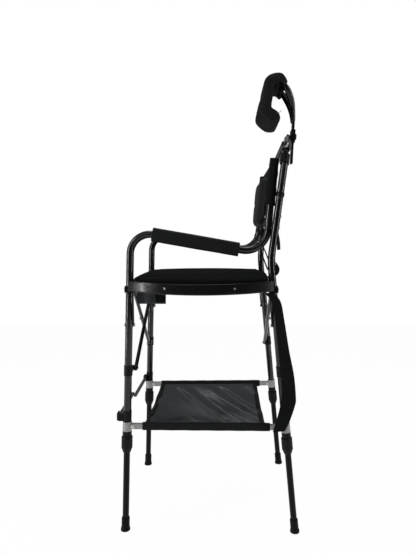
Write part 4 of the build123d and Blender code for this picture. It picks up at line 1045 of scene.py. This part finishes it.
# Closure flap under the seat: a tongue bowed as a sine that grows downward, with a rounded edge and a patch
# of hook tape at its end
def makeFlap():
    x = np.linspace(*flap["x"], 60)
    xx, zz = np.meshgrid(x, np.linspace(flap["top"], flap["low"], 34), indexing="ij")
    bow = flap["bow"] * np.sin((xx - x[0]) * flap["bowWaves"]) * smooth(flap["top"], flap["low"], zz)
    pts = np.stack([xx, flap["y"] + bow, zz], -1)
    obj = clothSheet("closureFlap", pts, flap["cloth"])
    soft = obj.modifiers.new("round", "BEVEL")
    soft.width, soft.segments, soft.limit_method = flap["round"], 2, "ANGLE"
    applyModifiers(obj)
    tape = clothSheet("closureTape", pts[-22:, 3:-3] - [0, flap["tapeOut"], 0], flap["tapeCloth"])
    finishPiece(tape, "webbing", "near_side")
    finishPiece(obj, "flap", "near_side", ["closure_flap"])


# Small webbing pieces on the near side: each has the points that it follows, in millimetres, the ways its
# width lies at its two ends, and what it hangs on
webStraps = {
    "strapTail": {
        "points": [(203.5, -240.5, 934), (205.2, -240.5, 912), (206.2, -240.5, 890), (206.6, -240.5, 867)],
        "wide": ((0.1, 1, 0), (1, 0.25, 0.05)), "on": ["near_rear_upright"]},
    "strapFold": {
        "points": [(193.5, -240, 831), (200.5, -240, 823), (206.4, -240, 811), (205.4, -240, 799),
                   (199, -240, 790.5), (199.2, -240, 794), (202.6, -240, 801), (203, -240, 811),
                   (198.5, -240, 820), (196.5, -240, 818), (199.2, -240, 811), (198.8, -240, 802),
                   (196.2, -240, 798), (195.8, -240, 811)],
        "wide": ((0, 1, 0), (0, 1, 0)), "on": ["near_rear_upright"], "width": 0.018, "thick": 0.0034, "count": 110},
    "lumbarTieFront": {
        "points": [(169, -148, 960), (150, -166, 938), (140, -186, 920), (136, -203, 905), (154, -218, 893)],
        "wide": ((0.6, 1, 0), (0.2, 1, 0.3)), "on": ["near_arm_tube"]},
    "lumbarTieRear": {
        "points": [(179.5, -172, 984), (164, -184, 955), (156, -196, 932), (153, -208, 913), (162, -218.5, 905)],
        "wide": ((0.1, 1, 0), (0.7, 1, 0.2)), "on": ["near_arm_tube"]},
    "postStrapHigh": {
        "points": [(156, -236, 884), (164, -237, 866), (176, -239, 834)],
        "wide": ((0.1, 1, 0), (0.1, 1, 0)), "on": ["near_arm_tube"], "thick": 0.0036},
    "postStrapLow": {
        "points": [(149, -234, 874), (158, -236, 846), (173, -239, 806)],
        "wide": ((0.15, 1, 0), (0.15, 1, 0)), "on": ["near_arm_tube"], "thick": 0.0036},
}


# A strip of webbing: a straight band across, turned from one way to another as it follows a smooth line of
# points, then given its thickness
def webStrap(name, points, wide, on, width=0.0105, thick=0.002, count=40):
    path = openSpline(points, count) / 1000
    t = smooth(0, 1, np.linspace(0, 1, count))[:, None]
    across = unit(np.array(wide[0]) * (1 - t) + np.array(wide[1]) * t)
    pts = path[:, None] + across[:, None] * np.linspace(-0.5, 0.5, 7)[None, :, None] * width
    obj = clothSheet(name, pts, thick)
    finishPiece(obj, "webbing", "near_side")


makeStrap()
makeFlap()
for name, parts in webStraps.items():
    webStrap(name, **parts)
print("straps made")


# focal and centre are in pixels of the image; each lamp has its place, its two sides and its power
studio = {
    "camera": (0.0436, -1.795, 0.8975), "focal": 505.25, "image": (416, 555), "centre": (225.7, 240.0),
    "worldDark": 0.05, "worldBright": 0.24, "brightFromY": 0.75, "brightSlope": (1.1, 0.6),
    "floorColour": 0.88, "floorShare": 0.975, "floorReach": 3.6, "aim": (0, 0, 0.8), "sensor": 36.0,
    "lamps": {
        "leftStrip": ((-2.2, -1.3, 1.3), (0.09, 2.4), 56),
        "rightStrip": ((2.3, -0.9, 1.3), (0.07, 2.4), 30),
        "top": ((0.1, 0.5, 3.2), (1.8, 1.8), 34),
        "fill": ((-1.2, -2.6, 2.4), (1.6, 1.6), 8),
    },
}


# A pale floor that keeps the object's shadow but shows near white to the camera and in reflections
def floorMaterial():
    g = Graph("paleFloor")
    camera, glossy, through = [g.add("LightPath", out=f"Is {ray} Ray") for ray in ("Camera", "Glossy", "Transmission")]
    seen = camera.math("MAXIMUM", glossy).math("MAXIMUM", through)
    matte = g.add("BsdfDiffuse", {"Color": (*grey(studio["floorColour"], 1.0), 1)})
    glow = g.add("Emission", {"Color": (1, 1, 1, 1), "Strength": 1.0})
    return g.show(g.add("MixShader", {0: seen * studio["floorShare"], 1: matte, 2: glow}))


# The world: white behind the object for the camera, and a room that is dark on the camera's side and
# brightens in straight ramps towards the rear and the top
def makeWorld():
    g = Graph("studio", "worlds")
    bpy.context.scene.world = g.material
    x, y, z = g.split(g.add("TexCoord"))
    rearward, upward = studio["brightSlope"]
    side = ((y + studio["brightFromY"]) * rearward).clamp() + (z * upward).clamp()
    level = side.clamp() * (studio["worldBright"] - studio["worldDark"]) + studio["worldDark"]
    room = g.add("Background", {"Color": (1, 1, 1, 1), "Strength": level})
    seen = g.add("Background", {"Color": (1, 1, 1, 1), "Strength": 1.0})
    g.show(g.add("MixShader", {0: g.add("LightPath"), 1: room, 2: seen}))


def makeLamp(name, place, size, power):
    lamp = bpy.data.lights.new(name, "AREA")
    lamp.shape = "RECTANGLE"
    lamp.size, lamp.size_y = size
    lamp.energy = power
    obj = addObject(name, lamp)
    obj.location = place
    obj.rotation_euler = (Vector(studio["aim"]) - Vector(place)).to_track_quat("-Z", "Y").to_euler()


# A level camera, shifted so that its axis meets the image at centre
def makeCamera():
    lens = bpy.data.cameras.new("view")
    wide, tall = studio["image"]
    lens.sensor_width = studio["sensor"]
    lens.lens = studio["focal"] / tall * studio["sensor"]
    lens.shift_x = (wide / 2 - studio["centre"][0]) / tall
    lens.shift_y = (studio["centre"][1] - tall / 2) / tall
    camera = addObject("view", lens)
    camera.location = studio["camera"]
    camera.rotation_euler = (np.pi / 2, 0, 0)
    bpy.context.scene.camera = camera
    bpy.context.scene.view_settings.view_transform = "Standard"


corners = np.array([[-1, -1, 0], [1, -1, 0], [1, 1, 0], [-1, 1, 0]], float)
floor = addMesh("floor", corners * studio["floorReach"], [[0, 1, 2, 3]])
floor.data.materials.append(floorMaterial())
makeWorld()
for name, parts in studio["lamps"].items():
    makeLamp(name, *parts)
makeCamera()
print("studio made")

bpy.context.view_layer.update()
